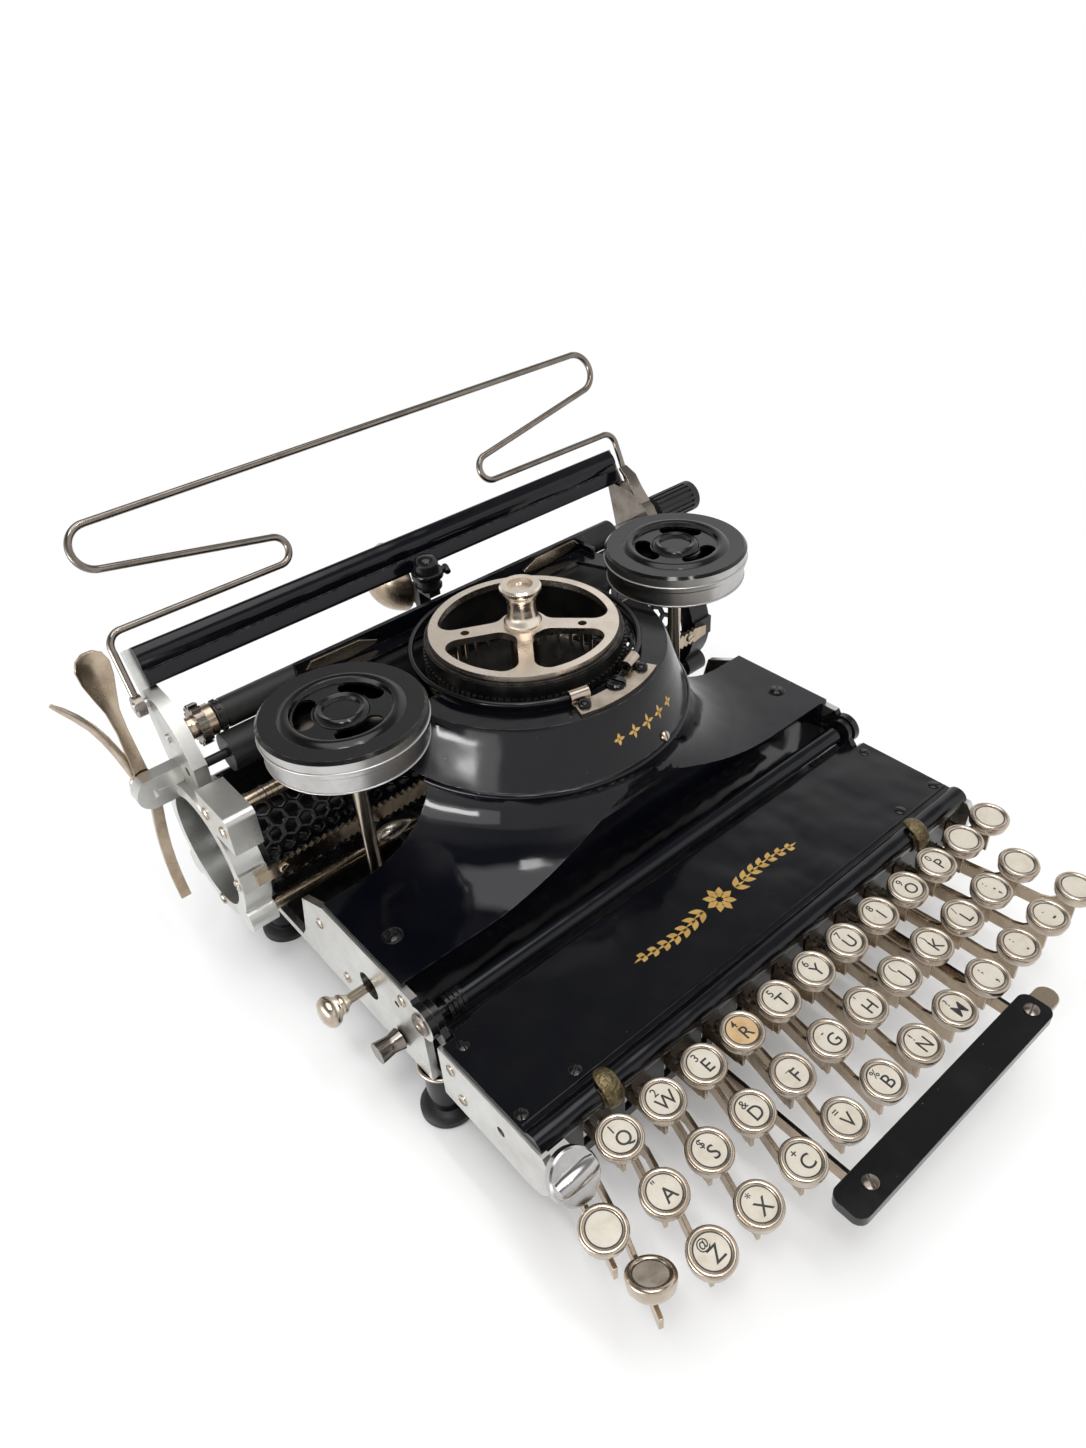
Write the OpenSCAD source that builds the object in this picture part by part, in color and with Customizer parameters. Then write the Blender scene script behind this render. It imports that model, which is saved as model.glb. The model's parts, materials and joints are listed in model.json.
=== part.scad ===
// Folding typewriter: a low rear base with a type turret, two ribbon spools and a sliding paper
// carriage, and a keyboard half that folds up about a rod across the middle.
// Millimetres. +X is the typist's right, +Y the back, +Z up. The origin is on the table, under the middle.

/* [Frame] */
// Width over the aluminium side plates
body_w = 239; // [230:1:250]
// Thickness of the side plates
plate_t = 3; // [2:0.5:4]
// Height of the base's underside above the table
base_z = 30; // [24:1:32]
// Thickness of the bed plate
bed_t = 4; // [3:0.5:4.5]
// Height of the top edge of the rear side plates
plate_top_z = 71; // [68:1:74]
// Where the high part of the rear side plates ends
plate_back_y = 62; // [50:1:66]
// Where the bed plate ends at the back
bed_back_y = 138; // [132:1:145]
// Diameter of the feet's flanges
foot_d = 22; // [16:1:26]
// Distance of the feet from the middle plane
foot_x = 112; // [104:1:114]
// Fold axis: distance in front of the middle
hinge_y = -26; // [-28:1:-24]
// Diameter of the black hinge barrel
hinge_d = 8; // [6:0.5:9]

/* [Turret] */
// Turret axis behind the middle
turret_y = 54; // [52:1:56]
// Height of the turret deck
deck_z = 128; // [125:1:130]
// Outer radius of the deck
deck_r = 58.5; // [54:0.5:60]
// Height of the bead ring where the hood meets the shroud
drum_z = 104; // [98:1:108]
// Radius at the bead ring
drum_r = 67; // [62:0.5:68]
// Radius where the flare runs out into the flat wings
flare_r = 105; // [96:1:112]
// Thickness of the japanned sheet
sheet_t = 2; // [1.5:0.5:2.5]
// Outer radius of the type wheel
wheel_r = 39; // [36:0.5:41]
// Thickness of the type wheel
wheel_h = 3; // [2:0.5:5]
// Radial width of the type wheel's rim
wheel_rim = 3.5; // [2.5:0.5:6]
// Height of the type ring under the wheel
type_h = 19; // [14:1:21]
// Height of the wheel's knob above the wheel
knob_h = 18; // [14:1:22]
// Diameter of the wheel's knob
knob_d = 17; // [14:0.5:18]

/* [Ribbon spools] */
// Distance of the spool axes from the middle plane
spool_x = 87.2; // [84:0.2:92]
// Spool axis behind the middle
spool_y = 52.3; // [49:0.5:56]
// Outer diameter of the spool cases
spool_d = 63.4; // [56:0.2:66]
// Height of a spool case with its lid
spool_h = 16; // [14:0.5:20]
// Height of the underside of the spool cases
spool_z = 125.5; // [122:0.5:130]

/* [Carriage] */
// Axis of the paper basket behind the middle
basket_y = 104; // [103:0.5:106]
// Height of the paper basket's axis
basket_z = 67; // [66.5:0.5:69]
// Outer radius of the carriage's end rings
ring_r = 31; // [30:0.5:31.5]
// Distance of the end rings' inner faces from the middle plane
ring_x = 124; // [123:1:128]
// Width of the end rings
ring_w = 12; // [8:1:14]
// Wall of the perforated paper basket
basket_t = 1.2; // [0.8:0.1:1.5]
// Perforations along the basket
basket_cols = 20; // [12:1:22]
// Rows of perforations around the basket
basket_rows = 6; // [3:1:6]
// Diameter of the platen
platen_d = 13; // [11:0.5:14]
// Platen axis behind the middle
platen_y = 118; // [117:0.5:119]
// Height of the platen's axis
platen_z = 116; // [115:0.5:117]
// Width of the paper table bar
table_w = 17; // [14:0.5:19]
// Slope of the paper table bar
table_tilt = 57; // [52:1:60]
// Diameter of the wire of the paper support
wire_d = 3; // [2.4:0.1:3.4]
// Lean of the paper support from upright
wire_lean = 25; // [15:1:32]
// Height of the top run of the paper support along its slope
wire_rise = 74; // [68:1:80]

/* [Keyboard] */
// Distance between keys of the back row
key_pitch = 19.05; // [18.6:0.05:19.3]
// Growth of that distance from one row to the next
row_spread = 0.95; // [0.6:0.05:1.1]
// Distance from one row to the next
row_step = 20; // [19:0.5:21]
// Drop from one row to the next
row_drop = 5; // [4:0.25:5]
// Height of the key faces of the back row
key_face_z = 63; // [62:0.5:64]
// Middle of the back row's keys in front of the part's middle
key_row_y = -102; // [-104:0.5:-100]
// Outer diameter of the key rings
key_d = 17.4; // [16:0.2:18]
// Slope of the key faces towards the typist
key_tilt = 4; // [0:1:8]
// Thickness of the key levers
blade_t = 1.6; // [1.2:0.1:2]
// Height of the key levers
blade_h = 6; // [5:0.5:6.5]
// Length of the space bar
space_l = 114; // [104:1:120]
// Width of the space bar
space_w = 13; // [11:0.5:14]
// Radius of the front cover's rolled lip
lip_r = 4.6; // [4:0.2:5]

/* [Fits] */
// Radial clearance of pins that turn in bores
run_fit = 0.05; // [0.03:0.01:0.08]
// Radial clearance of pins that are fixed in bores
press_fit = 0.01; // [0.01:0.01:0.02]
// Side clearance between faces that pass each other
side_gap = 0.4; // [0.3:0.05:0.6]
// Seam between pieces of one sub-part that sit on each other
seat = 0.02; // [0.01:0.01:0.04]

/* [Hidden] */
$fn = 64;
in_w = body_w / 2 - plate_t;
bed_z = base_z + bed_t;
bed_front_y = hinge_y - 4;
hinge_z = plate_top_z - 8;
hinge_pin_d = 5;
ear_r = 7;
foot_ys = [-20, 107];
wing_z = plate_top_z + sheet_t;
shroud_front_y = hinge_y + 11.5;
shroud_back_y = turret_y - 16;
apron_z = hinge_z - 11;
shroud_w = body_w - 2;
hood_back_y = turret_y - 5;
far_r = 170;
bead_r = 1.5;
deck_in_r = wheel_r + 6;

wheel_z = deck_z + 7;
type_r = wheel_r + 2;
hub_r = 7.4;
arbor_d = 12;
arbor_pin_d = 6;
bail_r = wheel_r + 8;
bail_d = 2.4;
clip_t = 1.2;
bail_fit = 0.3;
roll_r = bail_d / 2 + bail_fit + clip_t;
roll_half = 4;
roll_in = 4;
clip_span = 44;
clip_mid = -86;
wheel_turn = -37;

lid_h = 5.5;
spool_r = spool_d / 2;
spool_post_d = 6;
post_collar = 2;
spool_pin_d = 5;
spool_floor = 1.5;
spool_seat = 0.1;
reel_z = spool_z + spool_floor + spool_seat;
reel_h = spool_h - lid_h - spool_floor - 1;

basket_r = ring_r - 4;
rail_d = 6;
rail_off = (ring_r + 2) * sqrt(0.5);
rail_ys = [basket_y - rail_off, basket_y + rail_off];
rail_z = basket_z - rail_off;
bearing_x = 45;
bearing_w = 10;
bearing_r = 5;
box_y = basket_y - 38;
box_l = 26;
box_z = basket_z + 23;
box_h = 17;
scale_y = box_y + 14;
scale_z = box_z + 10;
pad_y = basket_y - ring_r - 1;
rack_z = basket_z + 2;
rack_t = 2;
rack_h = 8;
tooth = 3;
arm_x = ring_x + 2;
arm_t = 6;
axle_d = 4;
feed_y = 107.5;
feed_z = 105;
shield_y = platen_y - platen_d / 2 - 5;
shield_top = platen_z + platen_d / 2 + 9;
shield_half = 79;
shield_gap = 2;
feed_half = ring_x - 9;
feed_d = 2 * (norm([platen_y - feed_y, platen_z - feed_z]) - platen_d / 2 - side_gap);
table_y = 132.5;
table_z = 132;
table_t = 3;
table_half = ring_x + 5;
pivot = [131, 127];
pivot_pin_d = 4;
ear_y = [116, 123];
ear_x = -ring_x - 21;
ear_z = 96;
ear_rad = 7;
lever_pin_d = 4.6;
lever_t = 2;
line_reach = 22;
line_rise = 50;

front_top_z = plate_top_z - 13;
front_z = base_z + 2;
front_y = -92;
front_back_y = hinge_y - 8.3;
fork_t = 3.2;
cover_t = 2;
lip_y = -84;
lip_z = front_top_z + 4 - lip_r;
rod_y = -40;
rod_d = 3;
eye_r = row_drop - rod_d / 2 - side_gap;
cup_h = 7;
stem_h = 6;
lever_count = 36;
root_edge = [8.1, 7.9];
root_pitch = (2 * in_w - root_edge[0] - root_edge[1]) / (lever_count - 1);
root_x = root_edge[0] - in_w + 2 * root_pitch;
pass_gap = 0.6;
first_key_x = -98;
bail_y = rod_y + 6.5;
comb_y = -86;
comb_t = 2.5;
comb_top = lip_z - lip_r - 0.3;
slot_w = blade_t + 1.8;
key_drop = 6.5;
latch = [-116, -99, 57];
latch_r = 9;
latch_shaft = 13;
latch_shaft_d = 6;
latch_tilt = 40;
pull = [11, 50];
pull_d = 4;
LETTERS = [
    ["q", "w", "e", "r", "t", "y", "u", "i", "o", "p"],
    ["a", "s", "d", "f", "g", "h", "j", "k", "l", "semicolon"],
    ["z", "x", "c", "v", "b", "n", "m", "comma", "period", "hyphen"]
];

ALUMINIUM = [0.80, 0.80, 0.79];
BLACK = [0.03, 0.03, 0.045];
NICKEL = [0.66, 0.60, 0.52];
STEEL = [0.50, 0.48, 0.45];
RUBBER = [0.07, 0.07, 0.07];

// Places of the keys and of their levers

// Middle of key i in row r
function key_x(r, i) = first_key_x - 0.8 * r + i * (key_pitch + row_spread * r);
function row_y(r) = key_row_y - r * row_step;
function face_z(r) = key_face_z - r * row_drop;
// Underside and middle of a row's levers
function blade_z(r) = face_z(r) - cup_h - stem_h - blade_h;
function rod_z(r) = blade_z(r) + blade_h / 2;
function lever_root(r, i) = root_x + root_pitch * (3 * i + r);

// Way of a key's lever in front of the frame: past the keys of the rows behind it on their right
function letter_way(r, i) = concat(
    [for (k = [0:1:r - 1]) [key_x(k, i) + root_pitch * (r - k) * (k == 0 ? 1 : 1.1), row_y(k)]],
    [[key_x(r, i), row_y(r)]]
);

// Room beside a front plate for a lever with n levers between it and the plate
function pass_room(n) = side_gap + blade_t + n * (blade_t + pass_gap);

// Bend that leads a lever past the front edge of the right plate, if it would meet that plate
function pass_x(r, i) = in_w - pass_room(lever_count - 3 - 3 * i - r);
function plate_pass(r, i) =
    cross_x([[lever_root(r, i), rod_y], letter_way(r, i)[0]], front_y) > pass_x(r, i)
        ? [[pass_x(r, i), front_y - blade_t]]
        : [];

// Route of a key's lever, from its fulcrum to the key
function letter_route(r, i) = concat([[lever_root(r, i), rod_y]], plate_pass(r, i), letter_way(r, i));
figure_key = [first_key_x - 21, row_y(1) + 5.3];
capital_key = [first_key_x - 19, row_y(2) + 7.7];
figure_route = [
    [root_x - 2 * root_pitch, rod_y], [max(first_key_x - 13, pass_room(0) - in_w), front_y], figure_key
];
capital_route = [
    [root_x - root_pitch, rod_y], [max(first_key_x - 6.5, pass_room(1) - in_w), front_y - 6],
    [first_key_x - 12, figure_key[1]], capital_key
];
space_y = row_y(2) - key_d / 2 - 1.3 - space_w / 2;

// Route of an arm of the space bar, right of the levers of column i, with its root between theirs
function arm_route(i) =
    let (x = key_x(0, i) + 2.55 * root_pitch, room = blade_t + side_gap)
    let (root = min(max(x, lever_root(2, i) + room), lever_root(1, i + 1) - room))
    concat([[root, rod_y]], root == x ? [] : [[x, row_y(0)]], [[x, space_y]]);
space_arms = [for (i = [2, 7]) arm_route(i)];

// Where a route crosses the line y
function cross_x(route, y, k = 0) =
    y >= route[k + 1][1]
        ? route[k][0] + (route[k + 1][0] - route[k][0]) * (y - route[k][1]) / (route[k + 1][1] - route[k][1])
        : cross_x(route, y, k + 1);

// Shared shapes

module both_sides() {
    children();
    mirror([1, 0, 0]) children();
}

// A cylinder along X from x0 to x1 at a point [y, z]
module along_x(x0, x1, at, d) {
    translate([x0, at[0], at[1]]) rotate([0, 90, 0]) cylinder(d = d, h = x1 - x0);
}

// A cylinder along Y from y0 to y1 at a point [x, z]
module along_y(y0, y1, at, d) {
    translate([at[0], y0, at[1]]) rotate([-90, 0, 0]) cylinder(d = d, h = y1 - y0);
}

// A side outline in Y and Z, given thickness along X
module side_slab(x0, x1, points) {
    translate([x0, 0, 0]) rotate([90, 0, 90]) linear_extrude(x1 - x0) polygon(points);
}

// A front outline in X and Z, given thickness along Y
module front_slab(y0, y1, points) {
    translate([0, y1, 0]) rotate([90, 0, 0]) linear_extrude(y1 - y0) polygon(points);
}

module at_turret() {
    translate([0, turret_y, 0]) children();
}

// Base

module plate_body() {
    side_slab(in_w, in_w + plate_t, [
        [hinge_y, base_z], [bed_back_y, base_z], [bed_back_y, bed_z], [plate_back_y + 4, bed_z],
        [plate_back_y, bed_z + 6], [plate_back_y - 6, plate_top_z - 8], [shroud_back_y, plate_top_z],
        [hinge_y + 5, plate_top_z], [hinge_y, hinge_z]
    ]);
    along_x(in_w, in_w + plate_t, [hinge_y, hinge_z], 2 * ear_r);
}

module side_plates() {
    color(ALUMINIUM) both_sides() difference() {
        plate_body();
        along_x(in_w - 1, in_w + plate_t + 1, [hinge_y, hinge_z], hinge_pin_d + 2 * press_fit);
        along_x(in_w - 1, in_w + plate_t + 1, pull, 3 * pull_d);
        along_x(in_w - 1, in_w + plate_t + 1, [hinge_y + 18, base_z + 8], 6 + 2 * press_fit);
        along_x(in_w - 1, in_w + plate_t + 1, [hinge_y + 16, hinge_z - 4], 3);
    }
}

// Post behind the carriage that carries the bell and the hammer pivot
post_y = basket_y + basket_r + 2;
post_head_y = platen_y + platen_d / 2 + 2.5;
post_top = platen_z + platen_d / 2 + 6;

module rear_post() {
    side_slab(-3, 3, [
        [post_y, bed_z - 1], [post_y + 4, bed_z - 1], [post_y + 4, basket_z + 33],
        [post_head_y + 4, basket_z + 41], [post_head_y + 4, post_top], [post_head_y - 9, post_top],
        [post_head_y - 9, post_top - 4], [post_head_y, post_top - 4], [post_head_y, basket_z + 39],
        [post_y, basket_z + 31]
    ]);
    translate([0, post_head_y - 5, post_top - 1]) cylinder(d = 11, h = 13);
}

module bed_plate() {
    color(BLACK) difference() {
        union() {
            translate([-in_w, bed_front_y, base_z]) cube([2 * in_w, bed_back_y - bed_front_y, bed_t]);
            for (x = [-bearing_x, bearing_x], y = rail_ys) {
                translate([x - bearing_w / 2, y - bearing_r / 2, bed_z - 1])
                    cube([bearing_w, bearing_r, rail_z - bed_z + 1]);
                along_x(x - bearing_w / 2, x + bearing_w / 2, [y, rail_z], 2 * bearing_r);
            }
            translate([-in_w + 8, pull[0] - 5, bed_z - 1]) cube([10, 10, pull[1] - bed_z + 6]);
            rear_post();
        }
        for (y = rail_ys)
            along_x(-bearing_x - bearing_w, bearing_x + bearing_w, [y, rail_z], rail_d + 2 * run_fit);
        along_x(-in_w + 7, -in_w + 19, pull, pull_d + 2 * run_fit);
        translate([-in_w + 40, 0, base_z - 1]) cube([2 * in_w - 80, rail_ys[0] - bearing_r - 34, bed_t + 2]);
    }
}

module foot() {
    rotate_extrude() polygon([
        [0, 0], [foot_d / 2 - 1, 0], [foot_d / 2, 1], [foot_d / 2, 3.5], [foot_d / 2 - 1.5, 5],
        [foot_d / 2 - 4, 6], [foot_d / 2 - 3.5, base_z], [0, base_z]
    ]);
}

module feet() {
    color(RUBBER) for (x = [-foot_x, foot_x], y = foot_ys) translate([x, y, 0]) foot();
}

// Flare of the shroud about the turret axis: a quarter ellipse from the bead ring down to the wings
function flare(grow) = [for (t = [0:6:90]) [
    flare_r - (flare_r - drum_r + grow) * cos(t),
    drum_z - (drum_z - wing_z + grow) * sin(t)
]];
function reversed(list) = [for (k = [len(list) - 1:-1:0]) list[k]];

module shroud_shell() {
    rotate_extrude($fn = 128) polygon(concat(
        flare(0), [[far_r, wing_z], [far_r, wing_z - sheet_t]], reversed(flare(sheet_t))
    ));
}

module shroud_fill() {
    rotate_extrude($fn = 128) polygon(concat(
        [[0, apron_z], [0, drum_z]], flare(0), [[far_r, wing_z], [far_r, apron_z]]
    ));
}

module shroud() {
    color(BLACK) {
        intersection() {
            at_turret() shroud_shell();
            translate([-shroud_w / 2, shroud_front_y, wing_z - sheet_t])
                cube([shroud_w, shroud_back_y - shroud_front_y, drum_z]);
        }
        intersection() {
            at_turret() shroud_fill();
            translate([-in_w + side_gap, shroud_front_y, apron_z])
                cube([2 * (in_w - side_gap), sheet_t, drum_z]);
        }
        intersection() {
            at_turret() rotate_extrude($fn = 128)
                translate([drum_r, drum_z - bead_r]) circle(r = bead_r, $fn = 24);
            translate([-far_r, shroud_front_y, 0]) cube([2 * far_r, shroud_back_y - shroud_front_y, drum_z]);
        }
    }
}

module turret_hood() {
    color(BLACK) {
        intersection() {
            at_turret() rotate_extrude($fn = 128) polygon([
                [drum_r - sheet_t, drum_z], [drum_r, drum_z], [deck_r + 1, deck_z - 1.5],
                [deck_r, deck_z], [deck_in_r, deck_z], [deck_in_r, deck_z - sheet_t],
                [deck_r - sheet_t, deck_z - sheet_t]
            ]);
            difference() {
                translate([-far_r, -far_r, 0]) cube([2 * far_r, far_r + hood_back_y, 2 * deck_z]);
                both_sides() translate([spool_x, spool_y, spool_z - 1])
                    cylinder(r = spool_r + 1, h = spool_h);
            }
        }
        at_turret() rotate([0, 0, clip_mid + clip_span / 2 - roll_in])
            rotate_extrude(angle = 360 - clip_span + 2 * roll_in)
            translate([bail_r, deck_z + roll_r]) circle(d = bail_d, $fn = 24);
        platen_shield();
    }
}

// Shield in front of the platen: a wall on a shelf, with a strap to each spool post
module platen_shield() {
    shelf_z = spool_z - post_collar - seat - sheet_t;
    shelf_y = turret_y + type_r + shield_gap;
    difference() {
        union() {
            translate([-shield_half, shelf_y, shelf_z]) cube([2 * shield_half, shield_y - shelf_y, sheet_t]);
            both_sides() translate([0, 0, shelf_z]) linear_extrude(sheet_t) {
                polygon([
                    [spool_x - spool_post_d / 2, spool_y], [spool_x + spool_post_d / 2, spool_y],
                    [shield_half, shelf_y + 2], [shield_half - 2 * spool_post_d, shelf_y + 2]
                ]);
                translate([spool_x, spool_y]) circle(d = 2 * spool_post_d);
            }
        }
        both_sides() translate([spool_x, spool_y, shelf_z - 1])
            cylinder(d = spool_post_d + 2 * press_fit, h = sheet_t + 2);
    }
    translate([-shield_half, shield_y - sheet_t, shelf_z])
        cube([2 * shield_half, sheet_t, shield_top - shelf_z]);
    both_sides() translate([shield_half - sheet_t, shelf_y, shelf_z])
        cube([sheet_t, shield_y - shelf_y, (shield_top - shelf_z) / 2]);
}

// Nickel plate on the deck, whose two rolled ends hold the wire bail
module turret_clip() {
    color(NICKEL) at_turret() {
        rotate([0, 0, clip_mid - clip_span / 2]) rotate_extrude(angle = clip_span)
            translate([bail_r + 2, deck_z]) square([deck_r - bail_r - 3.5, clip_t]);
        for (side = [-1, 1]) rotate([0, 0, clip_mid + side * (clip_span / 2 - roll_in)])
            translate([bail_r, 0, deck_z]) {
                difference() {
                    union() {
                        along_y(-roll_half, roll_half, [0, roll_r], 2 * roll_r);
                        translate([0, -roll_half, 0]) cube([4, 2 * roll_half, clip_t]);
                    }
                    along_y(-roll_half - 1, roll_half + 1, [0, roll_r], bail_d + 2 * bail_fit);
                }
            }
    }
}

module spool_post() {
    translate([spool_x, spool_y, bed_z]) cylinder(d = spool_post_d, h = spool_z - bed_z);
    translate([spool_x, spool_y, bed_z]) cylinder(d = 2 * spool_post_d, h = 3);
    translate([spool_x, spool_y, spool_z - post_collar]) cylinder(d = 2 * spool_post_d, h = post_collar);
    translate([spool_x, spool_y, bed_z]) cylinder(d = spool_pin_d, h = reel_z + reel_h - bed_z);
}

module hinge_rod() {
    along_x(-in_w + 7, in_w - 7, [hinge_y, hinge_z], hinge_d);
    along_x(-in_w - plate_t, in_w + plate_t, [hinge_y, hinge_z], hinge_pin_d);
    for (k = [0:3]) along_x(-in_w + 7 + 2 * k, -in_w + 8.2 + 2 * k, [hinge_y, hinge_z], hinge_d + 2);
}

module lock_stub() {
    translate([-in_w + 6, hinge_y + 18, base_z + 8]) rotate([0, -90, 0]) rotate_extrude() polygon([
        [0, 0], [3, 0], [3, plate_t + 6], [4.5, plate_t + 7], [3.6, plate_t + 11], [4.4, plate_t + 17],
        [0, plate_t + 17]
    ]);
}

module frame_rods() {
    color(STEEL) {
        hinge_rod();
        lock_stub();
        both_sides() spool_post();
        at_turret() translate([0, 0, bed_z]) {
            cylinder(d = arbor_d, h = wheel_z - run_fit - bed_z);
            cylinder(d = 2.5 * arbor_d, h = 5);
            cylinder(d = arbor_pin_d, h = wheel_z + wheel_h + 4 - bed_z);
        }
    }
}

// Spool case: a stepped cup, and a lid with a raised ring, a sunk middle and three kidney slots

module spool_cup() {
    difference() {
        rotate_extrude() polygon([
            [spool_pin_d / 2 + run_fit, 0], [spool_r - 2, 0], [spool_r - 1, 1],
            [spool_r - 1, spool_h - lid_h - 3], [spool_r, spool_h - lid_h - 2], [spool_r, spool_h - lid_h],
            [spool_r - 2.2, spool_h - lid_h], [spool_r - 2.2, spool_floor],
            [spool_pin_d / 2 + run_fit, spool_floor]
        ]);
        rotate([0, 0, 140]) translate([spool_r - 4, -2, spool_floor + 1])
            cube([8, 4, spool_h - lid_h - spool_floor - 3]);
    }
}

module spool_lid() {
    slot_in = 10.7;
    slot_out = 18.5;
    slot_edge = 0.5;
    slot_w = slot_out - slot_in - 2 * slot_edge;
    slot_span = 48;
    top = spool_h;
    skirt = spool_h - lid_h;
    difference() {
        rotate_extrude() polygon([
            [0, top - 2.2], [0, top - 0.8], [6.6, top - 0.8], [7.2, top + 0.3], [8.6, top + 0.8],
            [9.9, top + 0.2], [slot_in, top - 1.2], [slot_out, top - 1.2], [slot_out + 0.7, top + 0.3],
            [slot_out + 2.1, top + 0.9], [slot_out + 3.7, top + 0.5], [slot_out + 5.1, top - 0.6],
            [spool_r - 1.2, top - 0.4], [spool_r, top - 1.6], [spool_r, skirt + seat],
            [spool_r - 2, skirt + seat], [spool_r - 2, top - 2.2]
        ]);
        for (k = [0:2]) rotate([0, 0, 120 * k + 10]) {
            rotate_extrude(angle = slot_span) translate([slot_in + slot_edge, top - 4]) square([slot_w, 6]);
            for (a = [0, slot_span]) rotate([0, 0, a]) translate([(slot_in + slot_out) / 2, 0, top - 4])
                cylinder(d = slot_w + slot_edge, h = 6);
        }
    }
}

module spool_cases() {
    both_sides() translate([spool_x, spool_y, spool_z]) {
        color(STEEL) spool_cup();
        color(BLACK) spool_lid();
    }
}

module ribbon_spool(side) {
    flange_r = spool_r - 4;
    color(STEEL) translate([side * spool_x, spool_y, reel_z]) rotate_extrude() polygon([
        [spool_pin_d / 2 + run_fit, 0], [flange_r, 0], [flange_r, 0.8], [flange_r - 6, 0.8],
        [flange_r - 6, reel_h - 0.8], [flange_r - 2, reel_h - 0.8], [flange_r - 2, reel_h],
        [spool_pin_d / 2 + run_fit, reel_h]
    ]);
}

// Bell on edge behind the paper table, on a bracket from the rear post
bell_r = 17;
bell_depth = 13;
bell_t = 1.4;
bell_gap = 2;
bell_rise = 2;
bell_at = table_at(bell_rise, -bell_r - bell_gap);

module bell_dome(r, depth) {
    cap_r = (r * r + depth * depth) / (2 * depth);
    intersection() {
        translate([0, 0, depth - cap_r]) sphere(r = cap_r, $fn = 96);
        cylinder(r = r, h = depth);
    }
}

module bell() {
    stem_d = 4;
    color(NICKEL) {
        translate([-2, bell_at[0], bell_at[1]]) rotate([0, -90, 0]) difference() {
            bell_dome(bell_r, bell_depth);
            translate([0, 0, -seat]) bell_dome(bell_r - bell_t, bell_depth - bell_t);
        }
        along_x(-2 - bell_depth, 2, bell_at, stem_d);
        side_slab(0, 2.5, [
            [post_head_y + 4, bell_at[1] - 12], [bell_at[0] + stem_d, bell_at[1] - stem_d],
            [bell_at[0] + stem_d, bell_at[1] + stem_d], [post_head_y + 4, bell_at[1] - 4]
        ]);
    }
}

// Turret

// Openings of the wheel: one behind the two side arms and two in front of them, with round corners
module wheel_openings() {
    offset(r = 6) offset(delta = -6) difference() {
        circle(r = wheel_r - wheel_rim);
        circle(r = hub_r + 2.5);
        for (a = [-10, 190]) rotate(a) translate([0, -3.8]) square([wheel_r, 7.6]);
        rotate(-90) translate([0, -3]) square([wheel_r, 6]);
    }
}

module wheel_disc() {
    linear_extrude(wheel_h) difference() {
        circle(r = wheel_r, $fn = 96);
        wheel_openings();
        circle(r = hub_r);
        for (a = [-10, 190]) rotate(a) translate([0.62 * wheel_r, 0]) circle(d = 3.6, $fn = 24);
    }
}

module wheel_knob() {
    difference() {
        rotate_extrude() polygon([
            [0, 0], [hub_r - seat, 0], [hub_r - seat, wheel_h + seat], [knob_d / 2 - 0.6, wheel_h + seat],
            [knob_d / 2 - 0.6, wheel_h + 1.4],
            [knob_d * 0.36, wheel_h + knob_h * 0.22], [knob_d * 0.33, wheel_h + knob_h * 0.5],
            [knob_d * 0.38, wheel_h + knob_h * 0.72], [knob_d / 2, wheel_h + knob_h * 0.88],
            [knob_d / 2, wheel_h + knob_h - 0.8], [knob_d / 2 - 0.8, wheel_h + knob_h],
            [knob_d * 0.3, wheel_h + knob_h], [knob_d * 0.28, wheel_h + knob_h - 2], [0, wheel_h + knob_h - 2]
        ]);
        translate([0, 0, -1]) cylinder(d = arbor_pin_d + 2 * run_fit, h = wheel_h + 6);
    }
}

module type_wheel() {
    at_turret() translate([0, 0, wheel_z]) {
        color(NICKEL) {
            rotate([0, 0, wheel_turn]) wheel_disc();
            wheel_knob();
        }
        color(BLACK) rotate_extrude($fn = 96)
            translate([wheel_r - 2, -type_h]) square([type_r - wheel_r + 2, type_h - seat]);
    }
}

// Carriage

module ring_body() {
    along_x(ring_x, ring_x + ring_w, [basket_y, basket_z], 2 * ring_r);
    translate([ring_x, pad_y, rack_z - rack_h / 2 - 1]) cube([ring_w, 6, rack_h + 2]);
    for (y = rail_ys) along_x(ring_x, ring_x + ring_w, [y, rail_z], 2 * rail_d);
    translate([ring_x, box_y + 3, box_z]) cube([ring_w, box_l - 3, box_h]);
    translate([ring_x, box_y, box_z]) cube([ring_w, box_l, box_h - 3]);
    along_x(ring_x, ring_x + ring_w, [box_y + 3, box_z + box_h - 3], 6);
}

// Foot and head of the paper table in the plane of the arm
function table_at(u, v) = [
    table_y + u * cos(table_tilt) - v * sin(table_tilt),
    table_z + u * sin(table_tilt) + v * cos(table_tilt)
];

module arm_body() {
    side_slab(arm_x, arm_x + arm_t, [
        [feed_y - 7, basket_z + 28], [basket_y + 22, basket_z + 19], [pivot[0] + 6, pivot[1] + 2],
        table_at(table_w, -5), table_at(table_w, 0), table_at(0, 0), [platen_y + 2, platen_z + 15],
        [platen_y - 8, platen_z + 9], [feed_y - 8, feed_z + 5]
    ]);
}

// Link that hangs from the ear beside the left ring
module ear_link() {
    low = bed_z + 4;
    bow = [for (u = [0:0.125:1]) [ear_x - 1.5 - 2 * sin(180 * u) - 3 * u, ear_z + (low - ear_z) * u]];
    front_slab(ear_y[0] + 1, ear_y[0] + 1 + lever_t, concat(bow, reversed([for (p = bow) p + [4.5, 0]])));
}

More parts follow.
